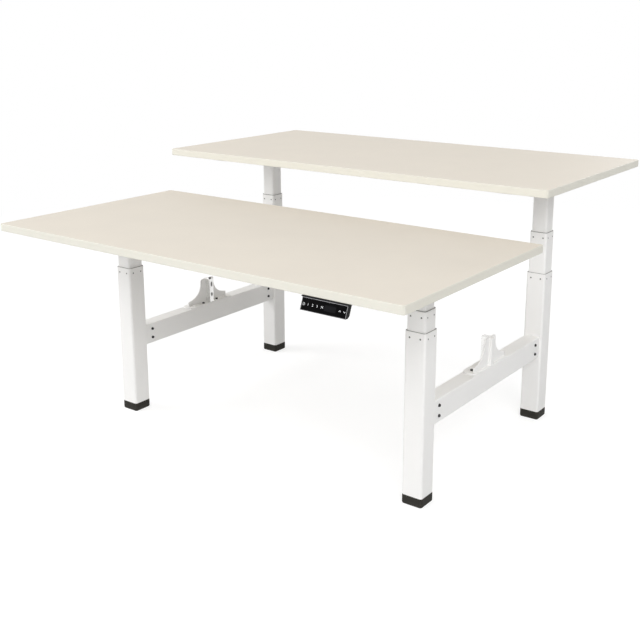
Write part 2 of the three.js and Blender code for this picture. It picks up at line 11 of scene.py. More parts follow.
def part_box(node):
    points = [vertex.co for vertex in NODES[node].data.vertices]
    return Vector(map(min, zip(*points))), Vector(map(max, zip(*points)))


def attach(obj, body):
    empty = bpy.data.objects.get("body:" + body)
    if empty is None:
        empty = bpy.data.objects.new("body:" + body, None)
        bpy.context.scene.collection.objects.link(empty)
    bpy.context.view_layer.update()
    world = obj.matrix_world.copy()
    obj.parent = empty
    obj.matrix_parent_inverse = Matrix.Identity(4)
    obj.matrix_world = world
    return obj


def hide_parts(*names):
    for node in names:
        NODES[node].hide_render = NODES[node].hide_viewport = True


bl_info = {
    "name": "Sit-stand bench for two",
    "version": (1, 0, 0),
    "blender": (4, 5, 0),
    "location": "3D View > Sidebar > Bench",
    "description": "Dresses the packed bench with its finishes, eased edges and fittings",
    "category": "Object",
}

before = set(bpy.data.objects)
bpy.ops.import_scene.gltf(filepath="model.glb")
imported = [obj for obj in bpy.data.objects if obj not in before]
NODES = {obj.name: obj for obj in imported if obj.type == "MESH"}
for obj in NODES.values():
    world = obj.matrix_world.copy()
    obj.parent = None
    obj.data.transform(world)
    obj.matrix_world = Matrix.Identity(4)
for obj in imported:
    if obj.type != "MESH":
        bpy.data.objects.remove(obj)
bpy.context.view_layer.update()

MM = 0.001
UP = Vector((0, 0, 1))
DESKS = ("front", "rear")
SIDES = ("left", "right")
LEGS = tuple(f"{desk}_{side}" for desk in DESKS for side in SIDES)
# Which way the outside of each end lies, and which end of each control box has the mains inlet
OUTSIDE = {"left": -1, "right": 1}
INLET_END = {"front": 1, "rear": -1}


class BenchSizes(bpy.types.PropertyGroup):
    """Sizes of the eased edges and the small fittings."""

    band: FloatProperty(
        name="Edge band", description="Thickness of the band round each desktop",
        default=2 * MM, unit="LENGTH")
    band_radius: FloatProperty(
        name="Edge radius", description="Rounding of the band's upper and lower edges",
        default=1.5 * MM, unit="LENGTH")
    top_corner: FloatProperty(
        name="Desktop corner",
        description="Rounding of each desktop's four corners, seen from above",
        default=8 * MM, unit="LENGTH")
    tube_corner: FloatProperty(
        name="Tube corner", description="Outside corner radius of the column tubes",
        default=8 * MM, unit="LENGTH")
    tube_wall: FloatProperty(
        name="Tube wall", description="Wall of the column tubes",
        default=1.5 * MM, unit="LENGTH")
    peg: FloatProperty(
        name="Guide peg", description="Diameter of the pegs that hold a guide bush in its tube",
        default=5.4 * MM, unit="LENGTH")
    peg_pitch: FloatProperty(
        name="Peg pitch", description="Distance between the two pegs on a side of a tube",
        default=36 * MM, unit="LENGTH")
    peg_drop: FloatProperty(
        name="Peg drop", description="Distance of the pegs below the top of their tube",
        default=18 * MM, unit="LENGTH")
    bolt: FloatProperty(
        name="Frame bolt", description="Head diameter of the crossbar bolts",
        default=10.5 * MM, unit="LENGTH")
    corner_steps: IntProperty(
        name="Corner steps", description="Faces round a quarter turn of a rounded corner",
        default=8, min=2)


class BenchColours(bpy.types.PropertyGroup):
    """Colours of the finishes."""

    laminate: FloatVectorProperty(
        name="Laminate", description="Cream melamine of the desktops",
        default=(0.733, 0.679, 0.597), subtype="COLOR")
    band: FloatVectorProperty(
        name="Edge band", description="Band round the desktops",
        default=(0.746, 0.728, 0.652), subtype="COLOR")
    coat: FloatVectorProperty(
        name="White coat", description="Powder coat of the steel frame",
        default=(0.905, 0.900, 0.888), subtype="COLOR")
    plastic: FloatVectorProperty(
        name="Black plastic", description="Handset housings and control boxes",
        default=(0.007, 0.0066, 0.0067), subtype="COLOR")
    foot: FloatVectorProperty(
        name="Foot caps", description="Moulded caps under the columns",
        default=(0.036, 0.034, 0.030), subtype="COLOR")
    bush: FloatVectorProperty(
        name="Guide bushes", description="Lips of the bushes between the column stages",
        default=(0.300, 0.296, 0.288), subtype="COLOR")
    peg: FloatVectorProperty(
        name="Guide pegs", description="Pegs that hold the bushes in their tubes",
        default=(0.150, 0.147, 0.142), subtype="COLOR")
    mark: FloatVectorProperty(
        name="Handset marks", description="Printed marks on the handset's panel",
        default=(0.780, 0.790, 0.800), subtype="COLOR")


class BenchStage(bpy.types.PropertyGroup):
    """Light, floor and camera."""

    sky: FloatProperty(
        name="Sky", description="Strength of the even white light round the bench",
        default=0.49, min=0.0)
    key: FloatProperty(
        name="Key lamp", description="Power of the large soft lamp in front on the right",
        default=338.0, unit="POWER")
    side: FloatProperty(
        name="Side lamp", description="Power of the large soft lamp on the left",
        default=375.0, unit="POWER")
    back: FloatProperty(
        name="Back lamp", description="Power of the large soft lamp low behind the bench",
        default=180.0, unit="POWER")
    fill: FloatProperty(
        name="Fill lamp",
        description="Power of the shadowless lamp that lifts the parts under the tops",
        default=140.0, unit="POWER")
    floor: FloatProperty(
        name="Floor", description="How much light the pale floor gives back",
        default=0.62, min=0.0, max=1.0, subtype="FACTOR")
    lens: FloatProperty(
        name="Lens", description="Focal length of the camera in millimetres",
        default=54.4325)


def sizes():
    """The sizes set in the panel."""
    return bpy.context.scene.bench_sizes


def colours():
    """The colours set in the panel."""
    return bpy.context.scene.bench_colours


def feed(tree, socket, value):
    """Links an input to another node's output, or sets it to a plain value."""
    if isinstance(value, bpy.types.NodeSocket):
        tree.links.new(value, socket)
    else:
        socket.default_value = value


def add_node(tree, kind, settings=None, sockets=None):
    """Adds a node to a tree: its settings first, then the values and links of its sockets."""
    made = tree.nodes.new(kind)
    for key, value in (settings or {}).items():
        setattr(made, key, value)
    for key, value in (sockets or {}).items():
        feed(tree, made.inputs[key], value)
    return made


class Tone:
    """A number or a colour in a finish's nodes: arithmetic on numbers adds Math nodes."""

    def __init__(self, finish, socket):
        self.finish = finish
        self.socket = socket

    def work(self, operation, first, second):
        """Adds the Math node of one operation."""
        return self.finish.node("ShaderNodeMath", {"operation": operation}, {0: first, 1: second})

    def __add__(self, other):
        return self.work("ADD", self, other)

    def __radd__(self, other):
        return self.work("ADD", other, self)

    def __sub__(self, other):
        return self.work("SUBTRACT", self, other)

    def __rsub__(self, other):
        return self.work("SUBTRACT", other, self)

    def __mul__(self, other):
        return self.work("MULTIPLY", self, other)

    def __rmul__(self, other):
        return self.work("MULTIPLY", other, self)


class Finish:
    """A procedural material: node() adds its nodes, shade() feeds its shader."""

    def __init__(self, name):
        self.material = bpy.data.materials.new(name)
        self.material.use_nodes = True
        self.tree = self.material.node_tree
        self.shader = self.tree.nodes["Principled BSDF"]

    def plain(self, value):
        """The socket that a tone wraps, or the value itself."""
        return value.socket if isinstance(value, Tone) else value

    def node(self, kind, settings=None, sockets=None, output=0):
        """Adds a node and gives one of its outputs as a tone."""
        inputs = {key: self.plain(value) for key, value in (sockets or {}).items()}
        return Tone(self, add_node(self.tree, kind, settings, inputs).outputs[output])

    def shade(self, **inputs):
        """Feeds the shader's inputs, each named in lower case."""
        for key, value in inputs.items():
            name = key.replace("_", " ").title().replace("Ior", "IOR")
            feed(self.tree, self.shader.inputs[name], self.plain(value))

    def place(self, stretch=(1, 1, 1)):
        """Object coordinates, stretched along each axis."""
        where = self.node("ShaderNodeTexCoord", output="Object")
        return self.node("ShaderNodeMapping", None, {"Vector": where, "Scale": stretch})

    def noise(self, where, scale, detail, rough=0.5):
        """Soft noise, its scale in cells to the metre."""
        return self.node(
            "ShaderNodeTexNoise", None,
            {"Vector": where, "Scale": scale, "Detail": detail, "Roughness": rough})

    def spread(self, tone, low, high):
        """A tone held between two levels and stretched to 0 and 1."""
        return self.node(
            "ShaderNodeMapRange", {"clamp": True},
            {"Value": tone, "From Min": low, "From Max": high})

    def grain(self, where, scale):
        """The pitted grain of a spark-eroded mould."""
        return self.node(
            "ShaderNodeTexVoronoi", {"feature": "SMOOTH_F1"},
            {"Vector": where, "Scale": scale, "Smoothness": 0.6})

    def mix(self, factor, first, second):
        """A colour between two others."""
        return self.node(
            "ShaderNodeMix", {"data_type": "RGBA"}, {0: factor, 6: first, 7: second}, output=2)

    def rubbed(self, where, scale):
        """Patches along the rounded edges, where the finish is rubbed."""
        edge = self.node("ShaderNodeAttribute", {"attribute_name": "rubbed"}, output="Fac")
        return edge * self.spread(self.noise(where, scale, 3.0, 0.6), 0.48, 0.68)

    def bump(self, height, depth, strength):
        """The normal of a surface that rises with a tone."""
        return self.node(
            "ShaderNodeBump", None, {"Height": height, "Distance": depth, "Strength": strength})


def rgba(colour, factor=1.0):
    """A colour made lighter or darker by a factor, for a node's socket."""
    return (colour[0] * factor, colour[1] * factor, colour[2] * factor, 1.0)


def laminate_finish(finish):
    """Cream melamine: slow clouding, a fine fleck and the press plate's satin grain."""
    where = finish.place()
    cloud = finish.spread(finish.noise(where, 7.0, 3.0), 0.3, 0.7)
    fleck = finish.spread(finish.noise(where, 620.0, 2.0), 0.55, 0.72)
    cream = colours().laminate
    ground = finish.mix(cloud, rgba(cream, 0.985), rgba(cream, 1.012))
    grain = finish.noise(where, 1500.0, 2.0)
    finish.shade(
        base_color=finish.mix(fleck * 0.5, ground, rgba(cream, 0.93)),
        roughness=0.46 + cloud * 0.05 + grain * 0.06,
        specular_ior_level=0.06,
        normal=finish.bump(grain, 0.06 * MM, 0.5))


def band_finish(finish):
    """The desktops' edge band: a plain satin strip with faint marks along its length."""
    where = finish.place((6.0, 6.0, 240.0))
    drawn = finish.spread(finish.noise(where, 3.0, 3.0), 0.3, 0.7)
    worn = finish.rubbed(finish.place(), 45.0)
    pale = colours().band
    ground = finish.mix(drawn, rgba(pale, 0.985), rgba(pale, 1.01))
    finish.shade(
        base_color=finish.mix(worn * 0.5, ground, rgba(pale, 0.93)),
        roughness=0.38 + drawn * 0.08 - worn * 0.14,
        specular_ior_level=0.15,
        normal=finish.bump(drawn, 0.03 * MM, 0.4))


def coat_finish(finish):
    """White powder coat: orange peel, a fine sparkle of the powder and slow clouding."""
    where = finish.place()
    peel = finish.noise(where, 420.0, 2.0)
    powder = finish.noise(where, 1900.0, 1.0)
    cloud = finish.spread(finish.noise(where, 5.0, 2.0), 0.3, 0.7)
    worn = finish.rubbed(where, 60.0)
    white = colours().coat
    ground = finish.mix(cloud, rgba(white, 0.99), rgba(white, 1.006))
    finish.shade(
        base_color=finish.mix(worn * 0.5, ground, rgba(white, 0.94)),
        roughness=0.40 + peel * 0.08 + powder * 0.04 - worn * 0.12,
        specular_ior_level=0.07,
        normal=finish.bump(peel + powder * 0.3, 0.05 * MM, 0.5))


def plastic_finish(finish):
    """Moulded black plastic with a fine spark-eroded grain."""
    where = finish.place()
    grain = finish.grain(where, 1100.0)
    handled = finish.spread(finish.noise(where, 22.0, 3.0), 0.4, 0.75)
    worn = finish.rubbed(where, 90.0)
    black = colours().plastic
    ground = finish.mix(handled, rgba(black), rgba(black, 1.35))
    finish.shade(
        base_color=finish.mix(worn * 0.6, ground, rgba(black, 2.2)),
        roughness=0.46 + grain * 0.12 - handled * 0.06 - worn * 0.12,
        specular_ior_level=0.15,
        normal=finish.bump(grain, 0.05 * MM, 0.6))


def foot_finish(finish):
    """The foot caps: grained black plastic, greyed by floor dust towards the sole."""
    where = finish.place()
    height = finish.node("ShaderNodeSeparateXYZ", None, {0: where}, output=2)
    grain = finish.grain(where, 900.0)
    dusty, grey = 16 * MM, (0.11, 0.104, 0.094)
    dust = 1 - finish.spread(height, 0.0, dusty)
    dust = dust * finish.spread(finish.noise(where, 70.0, 4.0), 0.35, 0.75)
    worn = finish.rubbed(where, 120.0)
    black = colours().foot
    ground = finish.mix(worn * 0.6, rgba(black), rgba(black, 1.7))
    finish.shade(
        base_color=finish.mix(dust * 0.35, ground, rgba(grey)),
        roughness=0.5 + grain * 0.12 + dust * 0.15,
        specular_ior_level=0.06,
        normal=finish.bump(grain, 0.06 * MM, 0.6))


def nylon(finish, grey):
    """Grey nylon, polished in patches by the sliding tubes."""
    where = finish.place((1.0, 1.0, 0.25))
    rubbed = finish.spread(finish.noise(where, 160.0, 3.0), 0.35, 0.7)
    finish.shade(
        base_color=finish.mix(rubbed, rgba(grey, 0.85), rgba(grey, 1.15)),
        roughness=0.55 - rubbed * 0.15,
        normal=finish.bump(rubbed, 0.03 * MM, 0.4))


def bush_finish(finish):
    """The guide bushes' lips."""
    nylon(finish, colours().bush)


def peg_finish(finish):
    """The guide bushes' pegs."""
    nylon(finish, colours().peg)


def panel_finish(finish):
    """The handset's touch panel: gloss black with a faint smear of finger marks."""
    where = finish.place((1.0, 1.0, 2.2))
    smear = finish.spread(finish.noise(where, 55.0, 4.0, 0.6), 0.5, 0.8)
    black, touched = (0.0015, 0.0014, 0.0015), (0.005, 0.005, 0.0055)
    finish.shade(
        base_color=finish.mix(smear, rgba(black), rgba(touched)),
        roughness=0.12 + smear * 0.16,
        specular_ior_level=0.05)


def window_finish(finish):
    """The blank display window, a shade bluer and glossier than the panel."""
    where = finish.place()
    dots = finish.noise(where, 2600.0, 1.0)
    dark, light = (0.004, 0.004, 0.005), (0.008, 0.008, 0.009)
    finish.shade(
        base_color=finish.mix(dots, rgba(dark), rgba(light)),
        roughness=0.06 + dots * 0.04,
        specular_ior_level=0.1)


def rim_highlight_finish(finish):
    """A painted highlight round the handset's panel: a satin metal line, brushed along its length,
    that stands in for the highlight on the housing's rim.
    """
    where = finish.place((40.0, 900.0, 900.0))
    brushed = finish.spread(finish.noise(where, 1.0, 3.0), 0.3, 0.7)
    # Painted highlight: this bright metal stands in for the light that the housing's rim catches
    dark, light = (0.40, 0.40, 0.41), (0.55, 0.55, 0.56)
    finish.shade(
        base_color=finish.mix(brushed, rgba(dark), rgba(light)),
        metallic=1.0,
        roughness=0.26 + brushed * 0.12)


def post_finish(finish):
    """The slotted posts: bright satin metal, drawn along its length."""
    where = finish.place((900.0, 900.0, 30.0))
    drawn = finish.spread(finish.noise(where, 1.0, 3.0), 0.3, 0.7)
    dark, light = (0.83, 0.83, 0.82), (0.87, 0.87, 0.86)
    finish.shade(
        base_color=finish.mix(drawn, rgba(dark), rgba(light)),
        metallic=0.85,
        roughness=0.22 + drawn * 0.08)


def mark_finish(finish):
    """White screen print on the handset's panel."""
    where = finish.place()
    speck = finish.noise(where, 3000.0, 2.0)
    white = colours().mark
    finish.shade(
        base_color=finish.mix(speck, rgba(white, 0.92), rgba(white, 1.03)),
        roughness=0.45 + speck * 0.1)


def steel_finish(finish):
    """Turned and oiled steel: fine rings along the spindles and a film of oil."""
    where = finish.place()
    rings = finish.node(
        "ShaderNodeTexWave", {"bands_direction": "Z"},
        {"Vector": where, "Scale": 420.0, "Distortion": 0.6, "Detail": 2.0})
    oil = finish.spread(finish.noise(where, 60.0, 3.0), 0.4, 0.7)
    bare, oiled = (0.52, 0.53, 0.54), (0.42, 0.41, 0.39)
    finish.shade(
        base_color=finish.mix(oil, rgba(bare), rgba(oiled)),
        metallic=1.0,
        roughness=0.24 + rings * 0.12 + oil * 0.08,
        normal=finish.bump(rings, 0.05 * MM, 0.6))


def dark_steel_finish(finish):
    """Dark zinc plate of the motor cans and the bolts."""
    where = finish.place()
    bloom = finish.spread(finish.noise(where, 140.0, 4.0), 0.35, 0.7)
    plated, bloomed = (0.030, 0.030, 0.031), (0.055, 0.055, 0.057)
    finish.shade(
        base_color=finish.mix(bloom, rgba(plated), rgba(bloomed)),
        metallic=0.75,
        roughness=0.36 + bloom * 0.14,
        normal=finish.bump(bloom, 0.03 * MM, 0.3))


FINISHES = {
    "laminate": laminate_finish,
    "edge_band": band_finish,
    "white_coat": coat_finish,
    "black_plastic": plastic_finish,
    "foot_plastic": foot_finish,
    "guide_bush": bush_finish,
    "guide_peg": peg_finish,
    "touch_panel": panel_finish,
    "display_window": window_finish,
    # The bright line round the handset's panel is a painted highlight
    "handset_rim_highlight": rim_highlight_finish,
    "handset_mark": mark_finish,
    "bright_post": post_finish,
    "steel": steel_finish,
    "dark_steel": dark_steel_finish,
}


def finish_of(name):
    """The material of a finish, made the first time it is asked for."""
    made = bpy.data.materials.get(f"bench_{name}")
    if made is None:
        finish = Finish(f"bench_{name}")
        FINISHES[name](finish)
        made = finish.material
    return made


def rounded_loop(width, depth, radius):
    """Points round a rectangle with rounded corners, anticlockwise about the origin."""
    steps = sizes().corner_steps
    points = []
    for turn, (sx, sy) in enumerate(((1, -1), (1, 1), (-1, 1), (-1, -1))):
        centre = Vector((sx * (width / 2 - radius), sy * (depth / 2 - radius)))
        for step in range(steps + 1):
            angle = (turn - 1 + step / steps) * math.pi / 2
            points.append(centre + radius * Vector((math.cos(angle), math.sin(angle))))
    return points


def swept(width, depth, radius, profile, closed):
    """A shape whose loops follow (inset, height) pairs round a rounded rectangle."""
    least = 0.2 * MM
    shape = bmesh.new()
    loops = []
    for inset, height in profile:
        corner = max(radius - inset, least)
        loop = rounded_loop(width - 2 * inset, depth - 2 * inset, corner)
        loops.append([shape.verts.new((x, y, height)) for x, y in loop])
    pairs = list(zip(loops, loops[1:]))
    if closed:
        pairs.append((loops[-1], loops[0]))
    for low, high in pairs:
        for i in range(len(low)):
            j = (i + 1) % len(low)
            shape.faces.new((low[i], low[j], high[j], high[i]))
    if not closed:
        shape.faces.new(list(reversed(loops[0])))
        shape.faces.new(loops[-1])
    bmesh.ops.recalc_face_normals(shape, faces=shape.faces)
    return shape


def eased(inset, height, radius, steps=3):
    """A quarter round in a profile, from the upright side up to the flat top."""
    angles = [step / steps * math.pi / 2 for step in range(steps + 1)]
    return [
        (inset + radius * (1 - math.cos(angle)), height - radius * (1 - math.sin(angle)))
        for angle in angles]


def tube_profile(bottom, top, wall, ease):
    """Outside up, over the eased rim, and down the inside of a tube."""
    return [(0, bottom)] + eased(0, top, ease) + [(wall, top), (wall, bottom)]


def both_ways(bottom, top, upper):
    """A profile's upper part, led by the same turned over for the lower edge."""
    return [(inset, bottom + top - height) for inset, height in reversed(upper)] + upper


def slab_profile(bottom, top, ease):
    """Up the side of a solid slab with its lower and upper edges eased."""
    return both_ways(bottom, top, eased(0, top, ease))


def prism(outline, low, high, axis):
    """An outline of 2D points carried from low to high along X (outline in YZ) or Z (in XY)."""
    shape = bmesh.new()
    ends = []
    for level in (low, high):
        if axis == "X":
            ends.append([shape.verts.new((level, a, b)) for a, b in outline])
        else:
            ends.append([shape.verts.new((a, b, level)) for a, b in outline])
    first, last = ends
    shape.faces.new(list(reversed(first)))
    shape.faces.new(last)
    for i in range(len(outline)):
        j = (i + 1) % len(outline)
        shape.faces.new((first[i], first[j], last[j], last[i]))
    bmesh.ops.recalc_face_normals(shape, faces=shape.faces)
    return shape


def block(low, high):
    """A plain block between two corners, to be cut and eased."""
    outline = [(low.x, low.y), (high.x, low.y), (high.x, high.y), (low.x, high.y)]
    return prism(outline, low.z, high.z, "Z")


def post_back(side):
    """Where the bell plate's inner face is, just behind its slotted post."""
    low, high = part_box(f"{side}_slotted_post")
    gap = 0.3 * MM
    return (high[0] + gap) if OUTSIDE[side] > 0 else (low[0] - gap)


def rods(places, diameter, length):
    """Round bars centred on the places given, each along its own direction."""
    sides = 20
    shape = bmesh.new()
    for centre, along in places:
        turn = Vector(along).to_track_quat("Z", "Y").to_matrix().to_4x4()
        bmesh.ops.create_cone(
            shape, cap_ends=True, segments=sides, radius1=diameter / 2, radius2=diameter / 2,
            depth=length, matrix=Matrix.Translation(centre) @ turn)
    return shape


def merged_copy(node):
    """A copy of a CAD node's mesh with its corners joined and its flat faces whole."""
    shape = bmesh.new()
    shape.from_mesh(NODES[node].data)
    bmesh.ops.remove_doubles(shape, verts=shape.verts, dist=0.01 * MM)
    bmesh.ops.dissolve_limit(
        shape, angle_limit=math.radians(1), verts=shape.verts, edges=shape.edges)
    return shape


def object_of(name, shape):
    """A new object in the scene from a bmesh, which is used up."""
    mesh = bpy.data.meshes.new(name)
    shape.to_mesh(mesh)
    shape.free()
    obj = bpy.data.objects.new(name, mesh)
    bpy.context.scene.collection.objects.link(obj)
    return obj


def settle(obj):
    """Gives an object the plain mesh that its modifiers make."""
    graph = bpy.context.evaluated_depsgraph_get()
    mesh = bpy.data.meshes.new_from_object(obj.evaluated_get(graph))
    old = obj.data
    obj.modifiers.clear()
    obj.data = mesh
    bpy.data.meshes.remove(old)
    mesh.name = obj.name
    if not mesh.polygons:
        raise RuntimeError(f"{obj.name} came out with no faces")


def combine(obj, shape, operation):
    """Cuts a shape out of an object, or joins it on."""
    other = object_of("other_shape", shape)
    step = obj.modifiers.new("combine", "BOOLEAN")
    step.operation = operation
    step.solver = "EXACT"
    step.object = other
    settle(obj)
    spare = other.data
    bpy.data.objects.remove(other)
    bpy.data.meshes.remove(spare)


def smooth(mesh, angle):
    """Smooth shading, broken at the edges that turn by more than an angle in degrees."""
    mesh.polygons.foreach_set("use_smooth", [True] * len(mesh.polygons))
    mesh.set_sharp_from_angle(angle=math.radians(angle))


def soften(obj, bevel=0.0, angle=40):
    """Eases the sharp edges and gives the flat faces flat shading beside round corners."""
    if bevel:
        step = obj.modifiers.new("ease", "BEVEL")
        step.width = bevel
        step.segments = 3
        step.limit_method = "ANGLE"
        step.angle_limit = math.radians(angle)
        step.harden_normals = False
        step.use_clamp_overlap = True
        settle(obj)
    smooth(obj.data, angle)
    step = obj.modifiers.new("flatten", "WEIGHTED_NORMAL")
    step.keep_sharp = True
    settle(obj)
    mark_edges(obj.data)


def mark_edges(mesh):
    """Marks the rounded edges and corners, which hands and shoes rub, for the finishes."""
    square = 0.99
    rubbed = mesh.attributes.get("rubbed") or mesh.attributes.new("rubbed", "FLOAT", "FACE")
    for polygon, mark in zip(mesh.polygons, rubbed.data):
        mark.value = 1.0 if max(abs(v) for v in polygon.normal) < square else 0.0


def joined(name, parts):
    """One object from several closed shells, each eased already."""
    whole = bmesh.new()
    for part in parts:
        spare = part.data
        whole.from_mesh(spare)
        bpy.data.objects.remove(part)
        bpy.data.meshes.remove(spare)
    obj = object_of(name, whole)
    soften(obj)
    return obj


def dress(obj, finish, body, slot, *nodes):
    """Gives a piece its finish and its body, and hides the CAD nodes that it stands for; the slot
    is not used.
    """
    obj.data.materials.clear()
    obj.data.materials.append(finish_of(finish))
    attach(obj, body)
    if nodes:
        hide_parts(*nodes)
    return obj


def middle_of(node):
    """The middle of a CAD node's box, and the box's extent."""
    low, high = (Vector(corner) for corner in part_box(node))
    return (low + high) / 2, high - low


def levels_of(node):
    """The heights of a CAD node's lower and upper end."""
    middle, extent = middle_of(node)
    return middle.z - extent.z / 2, middle.z + extent.z / 2


def over(middle):
    """Carries a shape made about the origin over a node's middle, its heights unchanged."""
    return Matrix.Translation((middle.x, middle.y, 0))


def swept_piece(name, shape, place, finish, body, slot, *nodes):
    """A swept shape in its place, smoothed and dressed."""
    shape.transform(place)
    obj = object_of(name, shape)
    soften(obj)
    return dress(obj, finish, body, slot, *nodes)


def eased_copy(name, node, finish, body, bevel, angle):
    """A CAD node's own shape with its edges eased, in the finish of its slot."""
    obj = object_of(name, merged_copy(node))
    soften(obj, bevel, angle)
    return dress(obj, finish, body, finish, node)


class BENCH_OT_desktops(bpy.types.Operator):
    """Boards with a cream laminate face, each in its own eased edge band"""

    bl_idname = "bench.desktops"
    bl_label = "Desktops"

    def execute(self, context):
        size = sizes()
        band, corner, joint = size.band, size.top_corner, 0.15 * MM
        for desk in DESKS:
            node = f"{desk}_desktop"
            body = f"{desk}_desk"
            middle, extent = middle_of(node)
            bottom, top = levels_of(node)
            board = swept(
                extent.x - 2 * band, extent.y - 2 * band, corner - band,
                slab_profile(bottom, top, joint), closed=False)
            swept_piece(f"{desk}_board", board, over(middle), "laminate", body, "laminate", node)
            rim = eased(0, top, size.band_radius, 5)
            rim += [(band - joint, top), (band, top - joint)]
            strip = swept(extent.x, extent.y, corner, both_ways(bottom, top, rim), closed=True)
            swept_piece(f"{desk}_edge_band", strip, over(middle), "edge_band", body, "laminate")
        return {"FINISHED"}


def peg_places(node):
    """Where the pegs of a column tube sit, each with the way that it faces."""
    size = sizes()
    middle, extent = middle_of(node)
    height = levels_of(node)[1] - size.peg_drop
    found = []
    for along in (-size.peg_pitch / 2, size.peg_pitch / 2):
        for side in (-1, 1):
            reach = side * extent.x / 2
            found.append((
                Vector((middle.x + reach, middle.y + along, height)), Vector((side, 0, 0))))
            found.append((
                Vector((middle.x + along, middle.y + reach, height)), Vector((0, side, 0))))
    return found


class BENCH_OT_columns(bpy.types.Operator):
    """Three-stage columns: white tubes with drilled sides and a dark guide bush in each rim"""

    bl_idname = "bench.columns"
    bl_label = "Columns"

    def tube(self, node, body, drilled):
        """A square tube with an eased rim, with holes for its pegs where it is drilled."""
        size = sizes()
        ease, clearance, drill = 0.4 * MM, 0.6 * MM, 6 * MM
        middle, extent = middle_of(node)
        profile = tube_profile(*levels_of(node), size.tube_wall, ease)
        shape = swept(extent.x, extent.y, size.tube_corner, profile, closed=True)
        shape.transform(over(middle))
        obj = object_of(f"{node}_coated", shape)
        if drilled:
            combine(obj, rods(peg_places(node), size.peg + clearance, drill), "DIFFERENCE")
        soften(obj)
        dress(obj, "white_coat", body, "white_coat", node)

    def bush(self, node, tube, body):
        """A liner inside the tube and a lip over its rim, lower on the outer tubes."""
        size = sizes()
        lip, lip_ease, gap, wall, chamfer = 0.5 * MM, 0.6 * MM, 0.3 * MM, 1.4 * MM, 0.4 * MM
        lowered = 0.7 * MM if "outer" in node else 0.0
        middle, extent = middle_of(tube)
        rim = levels_of(tube)[1] + gap
        low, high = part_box(node)
        bottom, top = low[2], high[2] - lowered
        liner = size.tube_wall + gap
        bore = liner + wall
        profile = [(liner, bottom), (liner, rim), (lip, rim)]
        profile += eased(lip, top, lip_ease)
        profile += [(bore - chamfer, top), (bore, top - chamfer), (bore, bottom)]
        shape = swept(extent.x, extent.y, size.tube_corner, profile, closed=True)
        swept_piece(
            f"{node}_moulded", shape, over(middle), "guide_bush", body, "guide_plastic", node)

    def execute(self, context):
        for leg in LEGS:
            desk = leg.split("_")[0]
            for stage, body in (("outer", "base_frame"), ("middle", f"{leg}_middle_stage")):
                tube = f"{leg}_{stage}_tube"
                self.tube(tube, body, True)
                self.bush(f"{leg}_{stage}_bush", tube, body)
            self.tube(f"{leg}_inner_tube", f"{desk}_desk", False)
        return {"FINISHED"}


class BENCH_OT_feet(bpy.types.Operator):
    """Moulded black caps under the columns"""

    bl_idname = "bench.feet"
    bl_label = "Foot caps"

    def execute(self, context):
        size = sizes()
        sole, overhang, ease, gap = 3 * MM, 0.5 * MM, 0.8 * MM, 0.3 * MM
        plug = overhang + size.tube_wall + gap
        # The rounded edge between the sole and the side, as (inset, height) pairs
        edge = [(sole, 0), (sole - 1.2 * MM, 0.5 * MM), (0.5 * MM, sole), (0, sole + 1 * MM)]
        for leg in LEGS:
            node = f"{leg}_foot_cap"
            middle, extent = middle_of(node)
            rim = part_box(f"{leg}_outer_tube")[0][2] - gap
            profile = edge + eased(0, rim, ease) + [(plug, rim), (plug, levels_of(node)[1])]
            shape = swept(extent.x, extent.y, size.tube_corner + overhang, profile, closed=False)
            swept_piece(
                f"{node}_moulded", shape, over(middle), "foot_plastic", "base_frame",
                "black_plastic", node)
        return {"FINISHED"}


class BENCH_OT_crossbars(bpy.types.Operator):
    """Rectangular tubes between the front and the rear columns"""

    bl_idname = "bench.crossbars"
    bl_label = "Crossbars"

    def execute(self, context):
        ease, wall, corner = 0.4 * MM, 2 * MM, 2.5 * MM
        quarter = Matrix.Rotation(math.radians(90), 4, "X")
        for side in SIDES:
            node = f"{side}_crossbar"
            middle, extent = middle_of(node)
            half = extent.y / 2
            profile = [(ease, -half), (0, -half + ease)] + eased(0, half, ease)
            profile += [(wall, half), (wall, -half)]
            shape = swept(extent.x, extent.z, corner, profile, closed=True)
            swept_piece(
                f"{node}_coated", shape, Matrix.Translation(middle) @ quarter, "white_coat",
                "base_frame", "white_coat", node)
        return {"FINISHED"}


def bell_outline(bottom, height):
    """The centre bracket's plate: short upright ends, flanks that sweep in, a rounded top."""
    base, waist, top = 106 * MM, 44 * MM, 37 * MM
    end, flare, neck, radius = 21 * MM, 7 * MM, 75 * MM, 14 * MM
    steps = 20
    half = [Vector((base, bottom)), Vector((base, bottom + end))]

    def bend(start, pull, finish):
        """Adds a curve that leaves and arrives towards the point that pulls it."""
        for step in range(1, steps + 1):
            t = step / steps
            half.append(start * (1 - t) ** 2 + pull * 2 * t * (1 - t) + finish * t ** 2)

    bend(half[-1], Vector((waist, bottom + end + flare)), Vector((top, bottom + neck)))
    half.append(Vector((top, bottom + height - radius)))
    bend(half[-1], Vector((top, bottom + height)), Vector((top - radius, bottom + height)))
    return half + [Vector((-point.x, point.y)) for point in reversed(half)]


